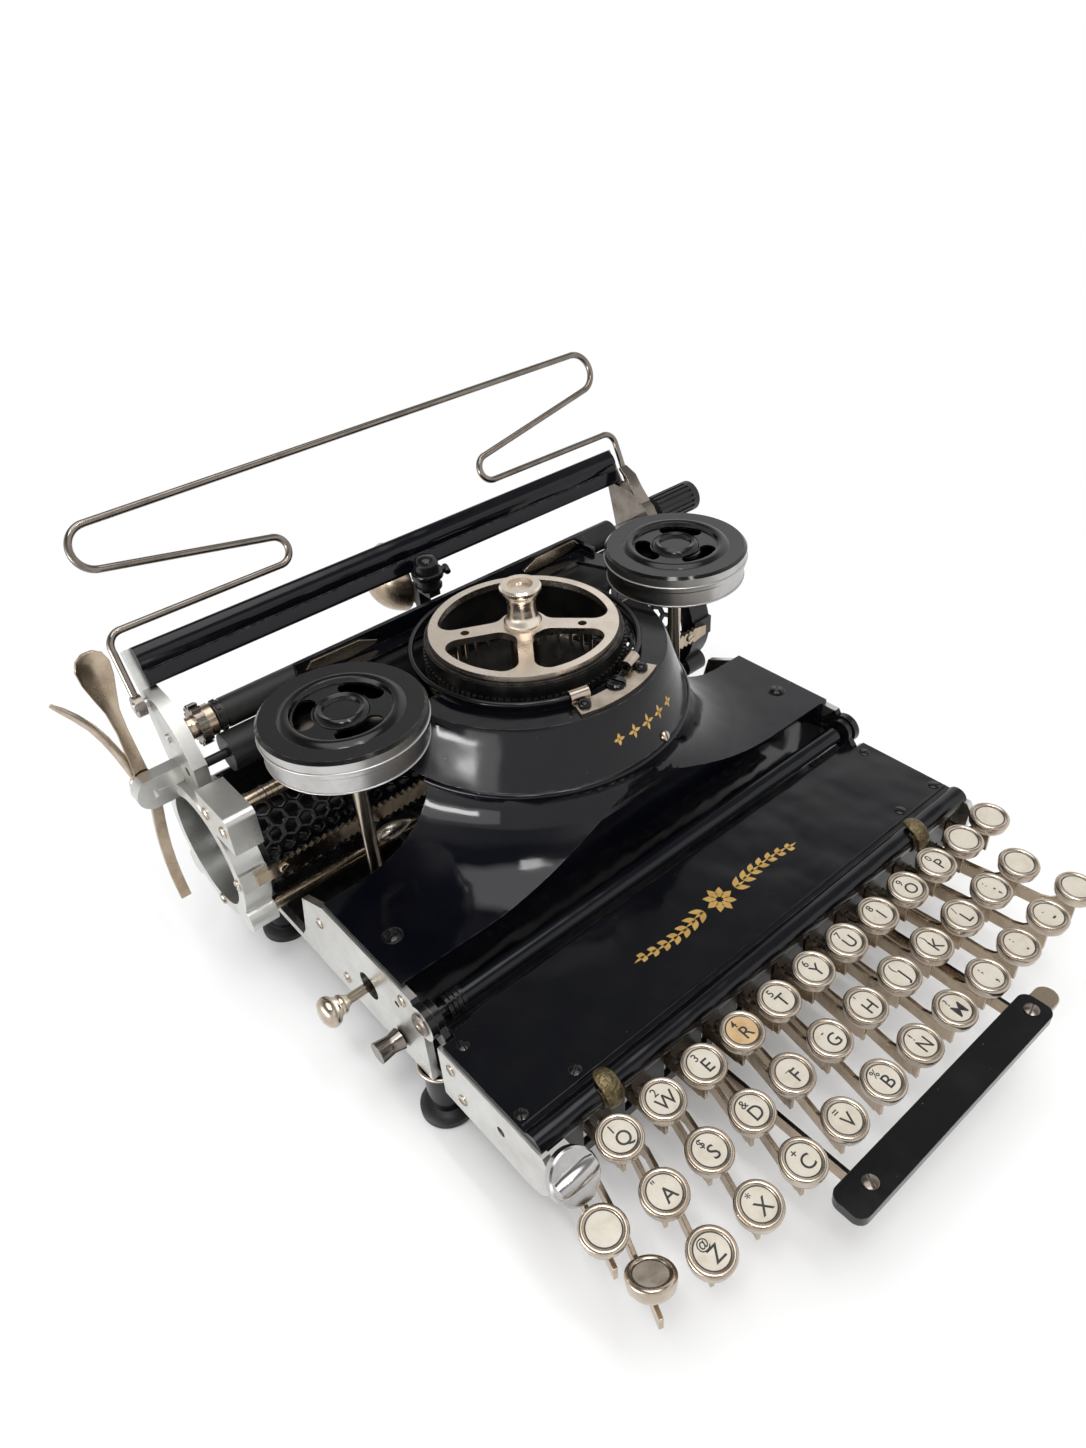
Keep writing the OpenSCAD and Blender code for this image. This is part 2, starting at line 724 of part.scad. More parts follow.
// Ear on the left arm that carries the two levers
module lever_ear() {
    difference() {
        union() {
            along_y(ear_y[0], ear_y[1], [ear_x, ear_z], 2 * ear_rad);
            translate([ear_x, ear_y[0], ear_z - ear_rad])
                cube([-arm_x - ear_x, ear_y[1] - ear_y[0], 2 * ear_rad]);
            ear_link();
        }
        along_y(ear_y[0] - 1, ear_y[1] + 1, [ear_x, ear_z], lever_pin_d + 2 * press_fit);
    }
}

module carriage_end() {
    difference() {
        union() {
            ring_body();
            arm_body();
            along_x(arm_x, arm_x + arm_t + 6, pivot, pivot_pin_d);
        }
        along_x(ring_x - 1, ring_x + ring_w + 1, [basket_y, basket_z], 2 * (ring_r - 5.5));
        along_x(arm_x - 1, arm_x + arm_t + 1, [platen_y, platen_z], axle_d + 2 * run_fit);
        along_x(ring_x - 1, ring_x + ring_w + 1, [feed_y, feed_z], axle_d + 2 * run_fit);
    }
}

module carriage_ends() {
    color(ALUMINIUM) {
        both_sides() carriage_end();
        lever_ear();
    }
    color(STEEL) along_y(ear_y[0], ear_y[1] + 3 * lever_t, [ear_x, ear_z], lever_pin_d);
}

// Perforated tube, open along the top where the paper goes in and out
module paper_basket() {
    pitch_x = 2 * (ring_x - 6) / basket_cols;
    row_turn = 32;
    color(BLACK) translate([0, basket_y, basket_z]) difference() {
        along_x(-ring_x, ring_x, [0, 0], 2 * basket_r);
        along_x(-ring_x - 1, ring_x + 1, [0, 0], 2 * (basket_r - basket_t));
        translate([-ring_x + 8, -8, 0]) cube([2 * ring_x - 16, 16, 2 * basket_r]);
        for (row = [0:basket_rows - 1], col = [0:basket_cols - 1 - row % 2])
            translate([(col - (basket_cols - 1 - row % 2) / 2) * pitch_x, 0, 0])
                rotate([135 - row * row_turn - 32, 0, 0]) translate([0, 0, basket_r - 4])
                    cylinder(d = 0.82 * pitch_x, h = 8, $fn = 6);
    }
}

// Points of the rack's saw edges, along the top and back along the bottom
module rack_outline() {
    teeth = floor((ring_x - 2) / tooth);
    polygon(concat(
        [for (k = [-teeth:teeth]) each [[k * tooth, rack_h / 2 - 1.4], [(k + 0.5) * tooth, rack_h / 2]]],
        [[ring_x + ring_w / 2, rack_h / 2 - 1.4], [ring_x + ring_w / 2, 1.4 - rack_h / 2]],
        [for (k = [teeth:-1:-teeth]) each [[(k + 0.5) * tooth, -rack_h / 2], [k * tooth, 1.4 - rack_h / 2]]],
        [[-ring_x - ring_w / 2, 1.4 - rack_h / 2], [-ring_x - ring_w / 2, rack_h / 2 - 1.4]]
    ));
}

module carriage_rails() {
    color(NICKEL) {
        translate([0, pad_y, rack_z]) rotate([90, 0, 0]) linear_extrude(rack_t) rack_outline();
        for (y = rail_ys) along_x(-ring_x, ring_x, [y, rail_z], rail_d);
        along_x(-ring_x, ring_x, [scale_y, scale_z], rail_d);
    }
}

module paper_table() {
    color(BLACK) translate([0, table_y, table_z]) rotate([table_tilt, 0, 0]) {
        translate([-table_half, 1.5, 0]) cube([2 * table_half, table_w - 3, table_t]);
        for (y = [1.5, table_w - 1.5]) along_x(-table_half, table_half, [y, table_t / 2], table_t);
        along_x(-table_half, table_half, [table_w * 0.55, table_t], 3);
    }
}

module platen() {
    knob_x = arm_x + arm_t + 7;
    knob_l = 28;
    axis = [platen_y, platen_z];
    color(RUBBER) difference() {
        union() {
            along_x(-ring_x + 16, ring_x - 16, axis, platen_d);
            along_x(knob_x, knob_x + knob_l, axis, 16);
        }
        for (a = [0:20:340]) translate([knob_x - 1, platen_y, platen_z]) rotate([a, 0, 0])
            translate([0, -0.7, 7.2]) cube([knob_l - 3, 1.4, 3]);
        along_x(-ring_x, knob_x + knob_l - 8, axis, axle_d + 2 * press_fit);
    }
    color(STEEL) {
        along_x(-arm_x - arm_t - 1, knob_x + knob_l - 8 - seat, axis, axle_d);
        difference() {
            along_x(-ring_x + 3, -ring_x + 7, axis, 18);
            for (a = [0:24:336]) translate([-ring_x + 2, platen_y, platen_z]) rotate([a, 0, 0])
                translate([0, -1, 7.4]) cube([6, 2, 4]);
        }
    }
}

module feed_roller() {
    axis = [feed_y, feed_z];
    color(RUBBER) difference() {
        along_x(-feed_half, feed_half, axis, feed_d);
        along_x(-ring_x, ring_x, axis, axle_d + 2 * press_fit);
    }
    color(STEEL) along_x(-arm_x - arm_t, arm_x + arm_t, axis, axle_d);
}

// Bent wire of the paper support, laid out flat: X across and Y up the slope

bend = [6, 6, 9];
leg_x = arm_x + arm_t + 3.5;
run_slope = 10;
u_turn_x = 58;
run_1 = wire_rise - 44;
turn_2 = [u_turn_x, run_1 + bend[1]];
leave_2 = turn_2 + bend[1] * [-sin(run_slope), cos(run_slope)];
run_2 = (leg_x - bend[2] - leave_2[0]) / cos(run_slope);
turn_3 = leave_2 + run_2 * [cos(run_slope), sin(run_slope)] + bend[2] * [-sin(run_slope), cos(run_slope)];
run_3 = turn_3[1] + bend[2];

wire_lap = 0.3;
wire_eye_w = wire_d + 0.6;
bend_d = wire_d + 0.1;

// A straight stretch of wire between two points, lapped into the bends at its ends
module wire_run(a, b) {
    d = b - a;
    translate([a[0], a[1], 0]) rotate([0, 0, atan2(d[1], d[0])]) rotate([0, 90, 0])
        translate([0, 0, -wire_lap]) cylinder(d = wire_d, h = norm(d) + 2 * wire_lap);
}

// A bend of wire about a centre, from one angle on through a turn
module wire_bend(c, r, from, turn) {
    translate([c[0], c[1], 0]) rotate([0, 0, from]) rotate_extrude(angle = turn)
        translate([r, 0]) circle(d = bend_d, $fn = 32);
}

module wire_half() {
    wire_run([leg_x, 2.5], [leg_x, run_1 - bend[0]]);
    wire_bend([leg_x - bend[0], run_1 - bend[0]], bend[0], 0, 90);
    wire_run([leg_x - bend[0], run_1], [u_turn_x, run_1]);
    wire_bend(turn_2, bend[1], 90 + run_slope, 180 - run_slope);
    wire_run(leave_2, leave_2 + run_2 * [cos(run_slope), sin(run_slope)]);
    wire_bend(turn_3, bend[2], run_slope - 90, 180 - run_slope);
    difference() {
        along_x(leg_x - wire_eye_w / 2, leg_x + wire_eye_w / 2, [0, 0], pivot_pin_d + 5);
        along_x(leg_x - wire_eye_w, leg_x + wire_eye_w, [0, 0], pivot_pin_d + 2 * run_fit);
    }
}

module paper_support() {
    color(STEEL) translate([0, pivot[0], pivot[1]]) rotate([90 - wire_lean, 0, 0]) {
        both_sides() wire_half();
        wire_run([-turn_3[0], run_3], [turn_3[0], run_3]);
    }
}

// Spoon: a shank from the ear's pin that widens into an oval paddle
module release_lever() {
    y0 = ear_y[1] + side_gap;
    color(NICKEL) difference() {
        union() {
            along_y(y0, y0 + lever_t, [ear_x, ear_z], 11);
            front_slab(y0, y0 + lever_t, [
                [ear_x - 2.5, ear_z], [ear_x + 2.5, ear_z], [ear_x + 1, ear_z + 40],
                [ear_x + 4.5, ear_z + 58], [ear_x - 9, ear_z + 58], [ear_x - 5, ear_z + 40]
            ]);
            along_y(y0, y0 + lever_t, [ear_x - 2.4, ear_z + 58], 13.6);
        }
        along_y(y0 - 1, y0 + lever_t + 1, [ear_x, ear_z], lever_pin_d + 2 * run_fit);
    }
}

// Thin lever that curves out to the left
module line_lever() {
    y0 = ear_y[1] + 2 * side_gap + lever_t;
    curve = [for (u = [0:0.125:1]) [ear_x - 3 - (line_reach - 3) * u * u, ear_z + line_rise * u]];
    color(NICKEL) difference() {
        union() {
            along_y(y0, y0 + lever_t, [ear_x, ear_z], 11);
            front_slab(y0, y0 + lever_t, concat(
                curve, reversed([for (p = curve) p + [3.4, -0.8]])
            ));
        }
        along_y(y0 - 1, y0 + lever_t + 1, [ear_x, ear_z], lever_pin_d + 2 * run_fit);
    }
}

// Keyboard half

module front_plate() {
    side_slab(in_w, in_w + plate_t, [
        [front_y, front_top_z - 3], [front_y + 2, front_top_z], [front_back_y, front_top_z],
        [front_back_y, front_z], [front_y + 9, front_z], [front_y + 4, front_z + 2],
        [front_y + 1, front_z + 6]
    ]);
    side_slab(in_w - fork_t, in_w, [
        [front_back_y - 12, front_top_z - 12], [front_back_y - 12, front_top_z], [front_back_y, front_top_z],
        [front_back_y, front_top_z - 9]
    ]);
    side_slab(in_w - fork_t, in_w - side_gap, [
        [front_back_y - 1, front_top_z - 9], [front_back_y - 1, front_top_z], [hinge_y - 2, hinge_z + 4],
        [hinge_y + 3, hinge_z - 4]
    ]);
    along_x(in_w - fork_t, in_w - side_gap, [hinge_y, hinge_z], 2 * (ear_r - 1));
}

module latch_axis() {
    translate(latch) rotate([90 - latch_tilt, 0, 0]) children();
}

// Lug on the left plate that carries the latch, cut back from the cover's lip
module latch_lug() {
    difference() {
        translate([-in_w, front_y, latch[2] - 10]) cube([7, comb_y - side_gap - front_y, 10.5]);
        along_x(-in_w, -in_w + 8, [lip_y, lip_z], 2 * (lip_r + side_gap));
    }
}

module key_comb() {
    difference() {
        translate([-in_w + seat, comb_y, front_z + 1])
            cube([2 * (in_w - seat), comb_t, comb_top - front_z - 1]);
        for (r = [0:2], i = [0:(r == 0 ? 11 : 10)]) lever_slot(r, cross_x(letter_route(r, i), comb_y));
        lever_slot(1, cross_x(figure_route, comb_y));
        lever_slot(2, cross_x(capital_route, comb_y));
        for (route = space_arms) lever_slot(2, cross_x(route, comb_y));
    }
}

module lever_slot(r, x) {
    translate([x - slot_w / 2, comb_y - 1, blade_z(r) - key_drop])
        cube([slot_w, comb_t + 2, key_drop + blade_h + side_gap]);
}

module keyboard_frame() {
    color(ALUMINIUM) difference() {
        union() {
            both_sides() front_plate();
            latch_lug();
        }
        for (side = [-1, 1]) {
            x0 = side * (in_w + plate_t / 2) - 5;
            along_x(x0, x0 + 10, [hinge_y, hinge_z], hinge_pin_d + 2 * run_fit);
            for (r = [0:2]) along_x(x0, x0 + 10, [rod_y, rod_z(r)], rod_d + 2 * press_fit);
            along_x(x0, x0 + 10, [-68, front_z + 15], 4);
        }
        latch_axis() translate([0, 0, -latch_shaft - 1])
            cylinder(d = latch_shaft_d + 2 * run_fit, h = latch_shaft);
    }
    color(STEEL) for (r = [0:2]) along_x(-in_w - plate_t, in_w + plate_t, [rod_y, rod_z(r)], rod_d);
    color(BLACK) key_comb();
}

module front_cover() {
    half_w = body_w / 2 - 1;
    color(BLACK) {
        difference() {
            translate([-half_w, lip_y, front_top_z]) cube([2 * half_w, front_back_y + 3 - lip_y, cover_t]);
            both_sides() translate([in_w - fork_t - side_gap, front_back_y - 2, front_top_z - 1])
                cube([fork_t + 2 * plate_t, 6, cover_t + 2]);
        }
        along_x(-in_w + side_gap, in_w - side_gap, [lip_y, lip_z], 2 * lip_r);
        intersection() {
            along_x(-half_w, half_w, [lip_y, lip_z], 2 * lip_r);
            translate([-half_w, lip_y - lip_r, front_top_z]) cube([2 * half_w, 2 * lip_r, 2 * lip_r]);
        }
    }
    color(NICKEL) for (x = [-92, 80]) translate([x, lip_y, lip_z]) rotate([0, 90, 0])
        rotate([0, 0, 200]) rotate_extrude(angle = 120) translate([lip_r + seat, 0]) square([1, 8]);
}

// A strip of even thickness along a route, standing on edge
module blade(route, z) {
    last = len(route) - 1;
    dirs = [for (k = [0:last - 1]) (route[k + 1] - route[k]) / norm(route[k + 1] - route[k])];
    mids = [for (k = [0:last]) k == 0 ? dirs[0] : k == last ? dirs[last - 1] : (dirs[k - 1] + dirs[k]) / 2];
    sides = [for (m = mids) [-m[1], m[0]] * blade_t / 2];
    translate([0, 0, z]) linear_extrude(blade_h) polygon(concat(
        [for (k = [0:last]) route[k] + sides[k]], [for (k = [last:-1:0]) route[k] - sides[k]]
    ));
}

module lever_eye(x, r) {
    along_x(x - blade_t / 2, x + blade_t / 2, [rod_y, rod_z(r)], 2 * eye_r);
}

module eye_bore(x, r) {
    along_x(x - blade_t, x + blade_t, [rod_y, rod_z(r)], rod_d + 2 * run_fit);
}

// Ring cup of a key, with a sunk seat for its disc
module cup() {
    k = key_d / 2;
    rotate_extrude($fn = 48) polygon([
        [0, 0], [k * 0.5, 0], [k * 0.8, 1], [k * 0.95, 2.6], [k, 4.4], [k, 5.4], [k - 0.5, 6.5],
        [k - 1.1, cup_h], [k - 1.6, cup_h - 0.1], [k - 2, cup_h - 0.6], [k - 2, cup_h - 1.2],
        [0, cup_h - 1.2]
    ]);
}

module key_lever(route, r, face, tilt) {
    tip = route[len(route) - 1];
    difference() {
        union() {
            blade(route, blade_z(r));
            lever_eye(route[0][0], r);
            translate([tip[0], tip[1], blade_z(r)])
                cylinder(d = 3.4, h = face - cup_h + 1 - blade_z(r), $fn = 24);
            translate([tip[0], tip[1], face - cup_h]) rotate([tilt, 0, 0]) cup();
        }
        eye_bore(route[0][0], r);
    }
}

module key_disc(route, face, tilt) {
    tip = route[len(route) - 1];
    translate([tip[0], tip[1], face - cup_h]) rotate([tilt, 0, 0]) translate([0, 0, cup_h - 1.2 + seat])
        cylinder(d = key_d - 4.2, h = 0.5, $fn = 48);
}

module letter_key(r, i) {
    color(NICKEL) key_lever(letter_route(r, i), r, face_z(r), key_tilt);
    color("ivory") key_disc(letter_route(r, i), face_z(r), key_tilt);
}

// A left and a right shift key, joined by a bail behind the fulcrum rods
module shift_keys(left, left_face, left_tilt, r) {
    right = letter_route(r, 10);
    color(NICKEL) {
        key_lever(left, r, left_face, left_tilt);
        key_lever(right, r, face_z(r), key_tilt);
        for (x = [left[0][0], right[0][0]]) translate([x - blade_t / 2, rod_y + 2.2, rod_z(r) - 1.5])
            cube([blade_t, bail_y - rod_y - 2.2, 3]);
        along_x(left[0][0] - blade_t / 2, right[0][0] + blade_t / 2, [bail_y, rod_z(r)], 3);
    }
    color("ivory") {
        key_disc(left, left_face, left_tilt);
        key_disc(right, face_z(r), key_tilt);
    }
}

module figure_shift_keys() {
    shift_keys(figure_route, face_z(1) - 3, key_tilt, 1);
}

module capital_shift_keys() {
    shift_keys(capital_route, face_z(2) - 3, 18, 2);
}

module space_bar() {
    r = 2;
    top = blade_z(r) + blade_h;
    corner = 4;
    color(BLACK) hull() for (x = [-1, 1], y = [-1, 1])
        translate([x * (space_l / 2 - corner), space_y + y * (space_w / 2 - corner), top + seat])
            cylinder(r = corner, h = 4, $fn = 32);
    color(NICKEL) for (route = space_arms) difference() {
        union() {
            blade(route, blade_z(r));
            lever_eye(route[0][0], r);
        }
        eye_bore(route[0][0], r);
    }
}

module latch_knob() {
    color(ALUMINIUM) latch_axis() {
        cylinder(r = latch_r, h = 4);
        translate([-latch_r + 1, -1.5, 3]) cube([2 * latch_r - 2, 3, 4]);
        translate([0, 0, 1 - latch_shaft]) cylinder(d = latch_shaft_d, h = latch_shaft);
    }
}

module pull_knob() {
    color(NICKEL) translate([-in_w + 22, pull[0], pull[1]]) rotate([0, -90, 0]) rotate_extrude() polygon([
        [0, 0], [pull_d / 2, 0], [pull_d / 2, 36], [4, 38.5], [4, 39.5], [6, 42], [6.2, 43], [5, 45],
        [2, 46], [0, 46]
    ]);
}

side_plates();
bed_plate();
feet();
shroud();
turret_hood();
turret_clip();
frame_rods();
spool_cases();
bell();
type_wheel();
ribbon_spool(-1);  // left_ribbon_spool
ribbon_spool(1);  // right_ribbon_spool
carriage_ends();
paper_basket();
carriage_rails();
paper_table();
platen();
feed_roller();
paper_support();
release_lever();
line_lever();
keyboard_frame();
front_cover();
space_bar();
latch_knob();
pull_knob();
figure_shift_keys();
capital_shift_keys();
letter_key(0, 10);  // backspace_key
letter_key(0, 11);  // margin_key
for (r = [0:2], i = [0:9])
    letter_key(r, i);
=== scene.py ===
"""Looks of a folding typewriter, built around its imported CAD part."""
import json
import logging
import math
from collections.abc import Callable, Iterable, Sequence
from dataclasses import dataclass, field
from enum import Enum

import bmesh
import bpy
from mathutils import Matrix, Vector

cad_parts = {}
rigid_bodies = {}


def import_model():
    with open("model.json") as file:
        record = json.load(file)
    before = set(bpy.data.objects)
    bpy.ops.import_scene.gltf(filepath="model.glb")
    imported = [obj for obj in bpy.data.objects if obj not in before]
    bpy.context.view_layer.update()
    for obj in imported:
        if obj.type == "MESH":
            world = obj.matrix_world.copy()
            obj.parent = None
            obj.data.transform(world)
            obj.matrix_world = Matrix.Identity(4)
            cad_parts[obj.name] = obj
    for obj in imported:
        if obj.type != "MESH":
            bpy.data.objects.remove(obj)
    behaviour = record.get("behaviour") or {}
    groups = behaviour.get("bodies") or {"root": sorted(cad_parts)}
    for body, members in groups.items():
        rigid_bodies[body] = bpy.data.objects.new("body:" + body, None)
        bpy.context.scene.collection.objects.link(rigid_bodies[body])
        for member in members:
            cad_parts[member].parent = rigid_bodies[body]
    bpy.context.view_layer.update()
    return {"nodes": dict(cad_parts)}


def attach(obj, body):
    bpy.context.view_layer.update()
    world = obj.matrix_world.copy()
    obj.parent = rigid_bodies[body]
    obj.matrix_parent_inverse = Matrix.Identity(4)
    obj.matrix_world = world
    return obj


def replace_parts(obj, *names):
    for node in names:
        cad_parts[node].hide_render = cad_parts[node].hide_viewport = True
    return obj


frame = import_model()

LOG = logging.getLogger("typewriter")
MM = 0.001
SIDES = (-1.0, 1.0)
ACROSS = Vector((1.0, 0.0, 0.0))
SPECKS_PER_M = 900.0
WEAR_PER_M = 260.0
GRAIN_DEPTH = 0.00006

Color = tuple[float, float, float]
Point2 = tuple[float, float]
Point3 = tuple[float, float, float]
Corner = bmesh.types.BMVert
FaceTest = Callable[[Vector, Vector], bool]


class Body(str, Enum):
    """Bodies of the part that the scene's own pieces ride on."""

    BASE = "base"
    KEYBOARD = "keyboard"
    CARRIAGE = "carriage"
    TYPE_WHEEL = "type_wheel"
    SPACE_BAR = "space_bar"
    PLATEN = "platen"
    RELEASE_LEVER = "release_lever"
    LINE_LEVER = "line_lever"
    LATCH = "latch_knob"
    PULL = "pull_knob"


class Slot(str, Enum):
    """Material slots of the part's record."""

    ALUMINIUM = "aluminium"
    JAPAN = "japan"
    NICKEL = "nickel"
    STEEL = "steel"
    RUBBER = "rubber"


# Finishes


class Graph:
    """Node tree of one finish, with short ways to add what the finishes share.

    Attributes:
        material: The material that owns the tree.
        shader: Its Principled shader.
        place: Coordinates on the piece, in metres.
    """

    def __init__(self, name: str) -> None:
        """Start a material with a Principled shader.

        Args:
            name: Name of the material.
        """
        self.material = bpy.data.materials.new(name)
        self.material.use_nodes = True
        self.tree = self.material.node_tree
        self.shader = self.tree.nodes["Principled BSDF"]
        self.place = self.add("ShaderNodeTexCoord").outputs["Object"]

    def add(self, kind: str, **settings: object) -> bpy.types.Node:
        """Add a node.

        Args:
            kind: Blender's name of the node type.
            **settings: Properties of the node to set.

        Returns:
            The new node.
        """
        node = self.tree.nodes.new(kind)
        for key, value in settings.items():
            setattr(node, key, value)
        return node

    def feed(self, socket: bpy.types.NodeSocket, value: object) -> None:
        """Link a socket's value into an input, or set it there.

        Args:
            socket: The input.
            value: Another node's output, or a constant.
        """
        if isinstance(value, bpy.types.NodeSocket):
            self.tree.links.new(value, socket)
        else:
            socket.default_value = value

    def noise(self, scale: float, detail: float = 4.0, stretch: Point3 = (1.0, 1.0, 1.0)) -> bpy.types.NodeSocket:
        """Add a noise texture.

        Args:
            scale: Features per metre.
            detail: Octaves.
            stretch: Scale along each axis.

        Returns:
            The noise's value.
        """
        mapping = self.add("ShaderNodeMapping")
        self.feed(mapping.inputs["Vector"], self.place)
        mapping.inputs["Scale"].default_value = stretch
        node = self.add("ShaderNodeTexNoise")
        self.feed(node.inputs["Vector"], mapping.outputs["Vector"])
        node.inputs["Scale"].default_value = scale
        node.inputs["Detail"].default_value = detail
        node.inputs["Roughness"].default_value = 0.6
        return node.outputs["Fac"]

    def band(self, value: bpy.types.NodeSocket, low: float, high: float,
             out: Point2 = (0.0, 1.0)) -> bpy.types.NodeSocket:
        """Map a range of a value onto another, clamped.

        Args:
            value: The value.
            low: Where the range starts.
            high: Where it ends.
            out: What the two ends become.

        Returns:
            The mapped value.
        """
        node = self.add("ShaderNodeMapRange")
        self.feed(node.inputs["Value"], value)
        for key, number in zip(("From Min", "From Max", "To Min", "To Max"), (low, high, *out)):
            node.inputs[key].default_value = number
        return node.outputs["Result"]

    def calc(self, operation: str, first: object, second: object) -> bpy.types.NodeSocket:
        """Combine two values.

        Args:
            operation: Blender's name of the operation.
            first: A value.
            second: Another one.

        Returns:
            The result.
        """
        node = self.add("ShaderNodeMath", operation=operation)
        self.feed(node.inputs[0], first)
        self.feed(node.inputs[1], second)
        return node.outputs[0]

    def mix(self, share: object, first: object, second: object) -> bpy.types.NodeSocket:
        """Mix two colours.

        Args:
            share: How much of the second one there is.
            first: A colour.
            second: Another one.

        Returns:
            The mixed colour.
        """
        node = self.add("ShaderNodeMix", data_type="RGBA")
        self.feed(node.inputs[0], share)
        for socket, value in ((node.inputs[6], first), (node.inputs[7], second)):
            self.feed(socket, value if isinstance(value, bpy.types.NodeSocket) else (*value, 1.0))
        return node.outputs[2]

    def edge(self, width: float) -> bpy.types.NodeSocket:
        """Find the edges of the piece, where a finish wears.

        Args:
            width: Width of the band along an edge, in metres.

        Returns:
            A value that is high along edges.
        """
        bevel = self.add("ShaderNodeBevel", samples=4)
        bevel.inputs["Radius"].default_value = width
        dot = self.add("ShaderNodeVectorMath", operation="DOT_PRODUCT")
        self.feed(dot.inputs[0], bevel.outputs["Normal"])
        self.feed(dot.inputs[1], self.add("ShaderNodeNewGeometry").outputs["Normal"])
        return self.band(dot.outputs["Value"], 0.995, 0.9)

    def bump(self, height: bpy.types.NodeSocket, strength: float, distance: float) -> None:
        """Give the shader a bump, on top of any that it has.

        Args:
            height: The height.
            strength: Strength of the bump.
            distance: Depth of the bump, in metres.
        """
        node = self.add("ShaderNodeBump")
        node.inputs["Strength"].default_value = strength
        node.inputs["Distance"].default_value = distance
        self.feed(node.inputs["Height"], height)
        for link in self.shader.inputs["Normal"].links:
            self.feed(node.inputs["Normal"], link.from_socket)
        self.feed(self.shader.inputs["Normal"], node.outputs["Normal"])


@dataclass(frozen=True)
class Finish:
    """One finish: two tones in patches, a grain, and wear along the edges.

    Attributes:
        name: Name of its material.
        color: Main tone.
        tone: Tone of the patches.
        rough: Roughness where it is polished and where it is dull.
        metallic: 1 on metal.
        patch: Patches per metre.
        patch_band: Part of the noise over which the patches come in.
        grain: Stretch of the grain along each axis.
        grain_scale: Grains per metre.
        grain_bump: Strength of the grain's bump.
        wear: What shows along worn edges, if anything.
        wear_width: Width of the worn edges, in metres.
        specks: Share of dust and chips, from 0 to 1.
        speck_color: Colour of the specks.
        specular: Specular level of the shader.
        ripple: Depth of waves in the surface, in metres.
        ripple_scale: Waves per metre.
    """

    name: str
    color: Color
    tone: Color
    rough: Point2
    metallic: float = 0.0
    patch: float = 70.0
    patch_band: Point2 = (0.42, 0.68)
    grain: Point3 = (1.0, 1.0, 1.0)
    grain_scale: float = 1800.0
    grain_bump: float = 0.12
    wear: Color | None = None
    wear_width: float = 0.0005
    specks: float = 0.0
    speck_color: Color = (0.30, 0.28, 0.24)
    specular: float = 0.5
    ripple: float = 0.0
    ripple_scale: float = 55.0

    def make(self) -> bpy.types.Material:
        """Return the finish's material, made on first use."""
        found = bpy.data.materials.get(self.name)
        return found or self.build()

    def build(self) -> bpy.types.Material:
        """Make the material.

        Returns:
            The new material.
        """
        graph = Graph(self.name)
        shader = graph.shader
        patches = graph.band(graph.noise(self.patch, 6.0), *self.patch_band)
        grain = graph.noise(self.grain_scale, 3.0, self.grain)
        color = graph.mix(patches, self.color, self.tone)
        dull = graph.calc("MULTIPLY", graph.calc("ADD", patches, grain), 0.6)
        rough = graph.band(dull, 0.1, 0.95, self.rough)
        if self.specks > 0:
            limit = 0.80 - 0.12 * self.specks
            dots = graph.band(graph.noise(SPECKS_PER_M, 2.0), limit, limit + 0.03)
            color = graph.mix(dots, color, self.speck_color)
            rough = graph.calc("MAXIMUM", rough, graph.calc("MULTIPLY", dots, 0.5))
        if self.wear is not None:
            patchy = graph.band(graph.noise(WEAR_PER_M), 0.42, 0.62)
            ragged = graph.calc("MULTIPLY", graph.edge(self.wear_width), patchy)
            color = graph.mix(ragged, color, self.wear)
            if self.metallic < 1.0:
                graph.feed(shader.inputs["Metallic"], ragged)
            rough = graph.calc("MAXIMUM", rough, graph.calc("MULTIPLY", ragged, 0.34))
        if self.metallic >= 1.0 or self.wear is None:
            shader.inputs["Metallic"].default_value = self.metallic
        shader.inputs["Specular IOR Level"].default_value = self.specular
        graph.feed(shader.inputs["Base Color"], color)
        graph.feed(shader.inputs["Roughness"], rough)
        graph.bump(grain, self.grain_bump, GRAIN_DEPTH)
        if self.ripple > 0.0:
            graph.bump(graph.noise(self.ripple_scale, 1.0), 1.0, self.ripple)
        return graph.material


JAPAN = Finish("gloss_japan", (0.0020, 0.0024, 0.0046), (0.0032, 0.0034, 0.0054), (0.05, 0.15), patch=40.0,
               grain_scale=400.0, grain_bump=0.03, wear=(0.16, 0.14, 0.12), wear_width=0.0004, specks=0.2,
               specular=0.30, ripple=0.0004)
HOOD_JAPAN = Finish("hood_japan", (0.0020, 0.0023, 0.0040), (0.0032, 0.0034, 0.0048), (0.10, 0.20), patch=50.0,
                    grain_scale=500.0, grain_bump=0.05, wear=(0.20, 0.18, 0.15), wear_width=0.0004, specks=0.3,
                    specular=0.34, ripple=0.0005)
SATIN_JAPAN = Finish("satin_japan", (0.0036, 0.0037, 0.0046), (0.0060, 0.0060, 0.0062), (0.10, 0.22), patch=60.0,
                     grain_scale=700.0, grain_bump=0.05, wear=(0.22, 0.19, 0.16), wear_width=0.0003, specks=0.25,
                     specular=0.36)
DULL_JAPAN = Finish("dull_japan", (0.0045, 0.0045, 0.0050), (0.011, 0.010, 0.009), (0.24, 0.46), patch=120.0,
                    wear=(0.20, 0.17, 0.14), wear_width=0.0004, specks=0.4, specular=0.4)
ALUMINIUM = Finish("worn_aluminium", (0.62, 0.62, 0.60), (0.48, 0.47, 0.44), (0.24, 0.44), 1.0, patch=34.0,
                   grain=(1.0, 0.06, 1.0), grain_scale=2600.0, grain_bump=0.12, specks=0.3,
                   speck_color=(0.18, 0.16, 0.14), wear=(0.84, 0.84, 0.82))
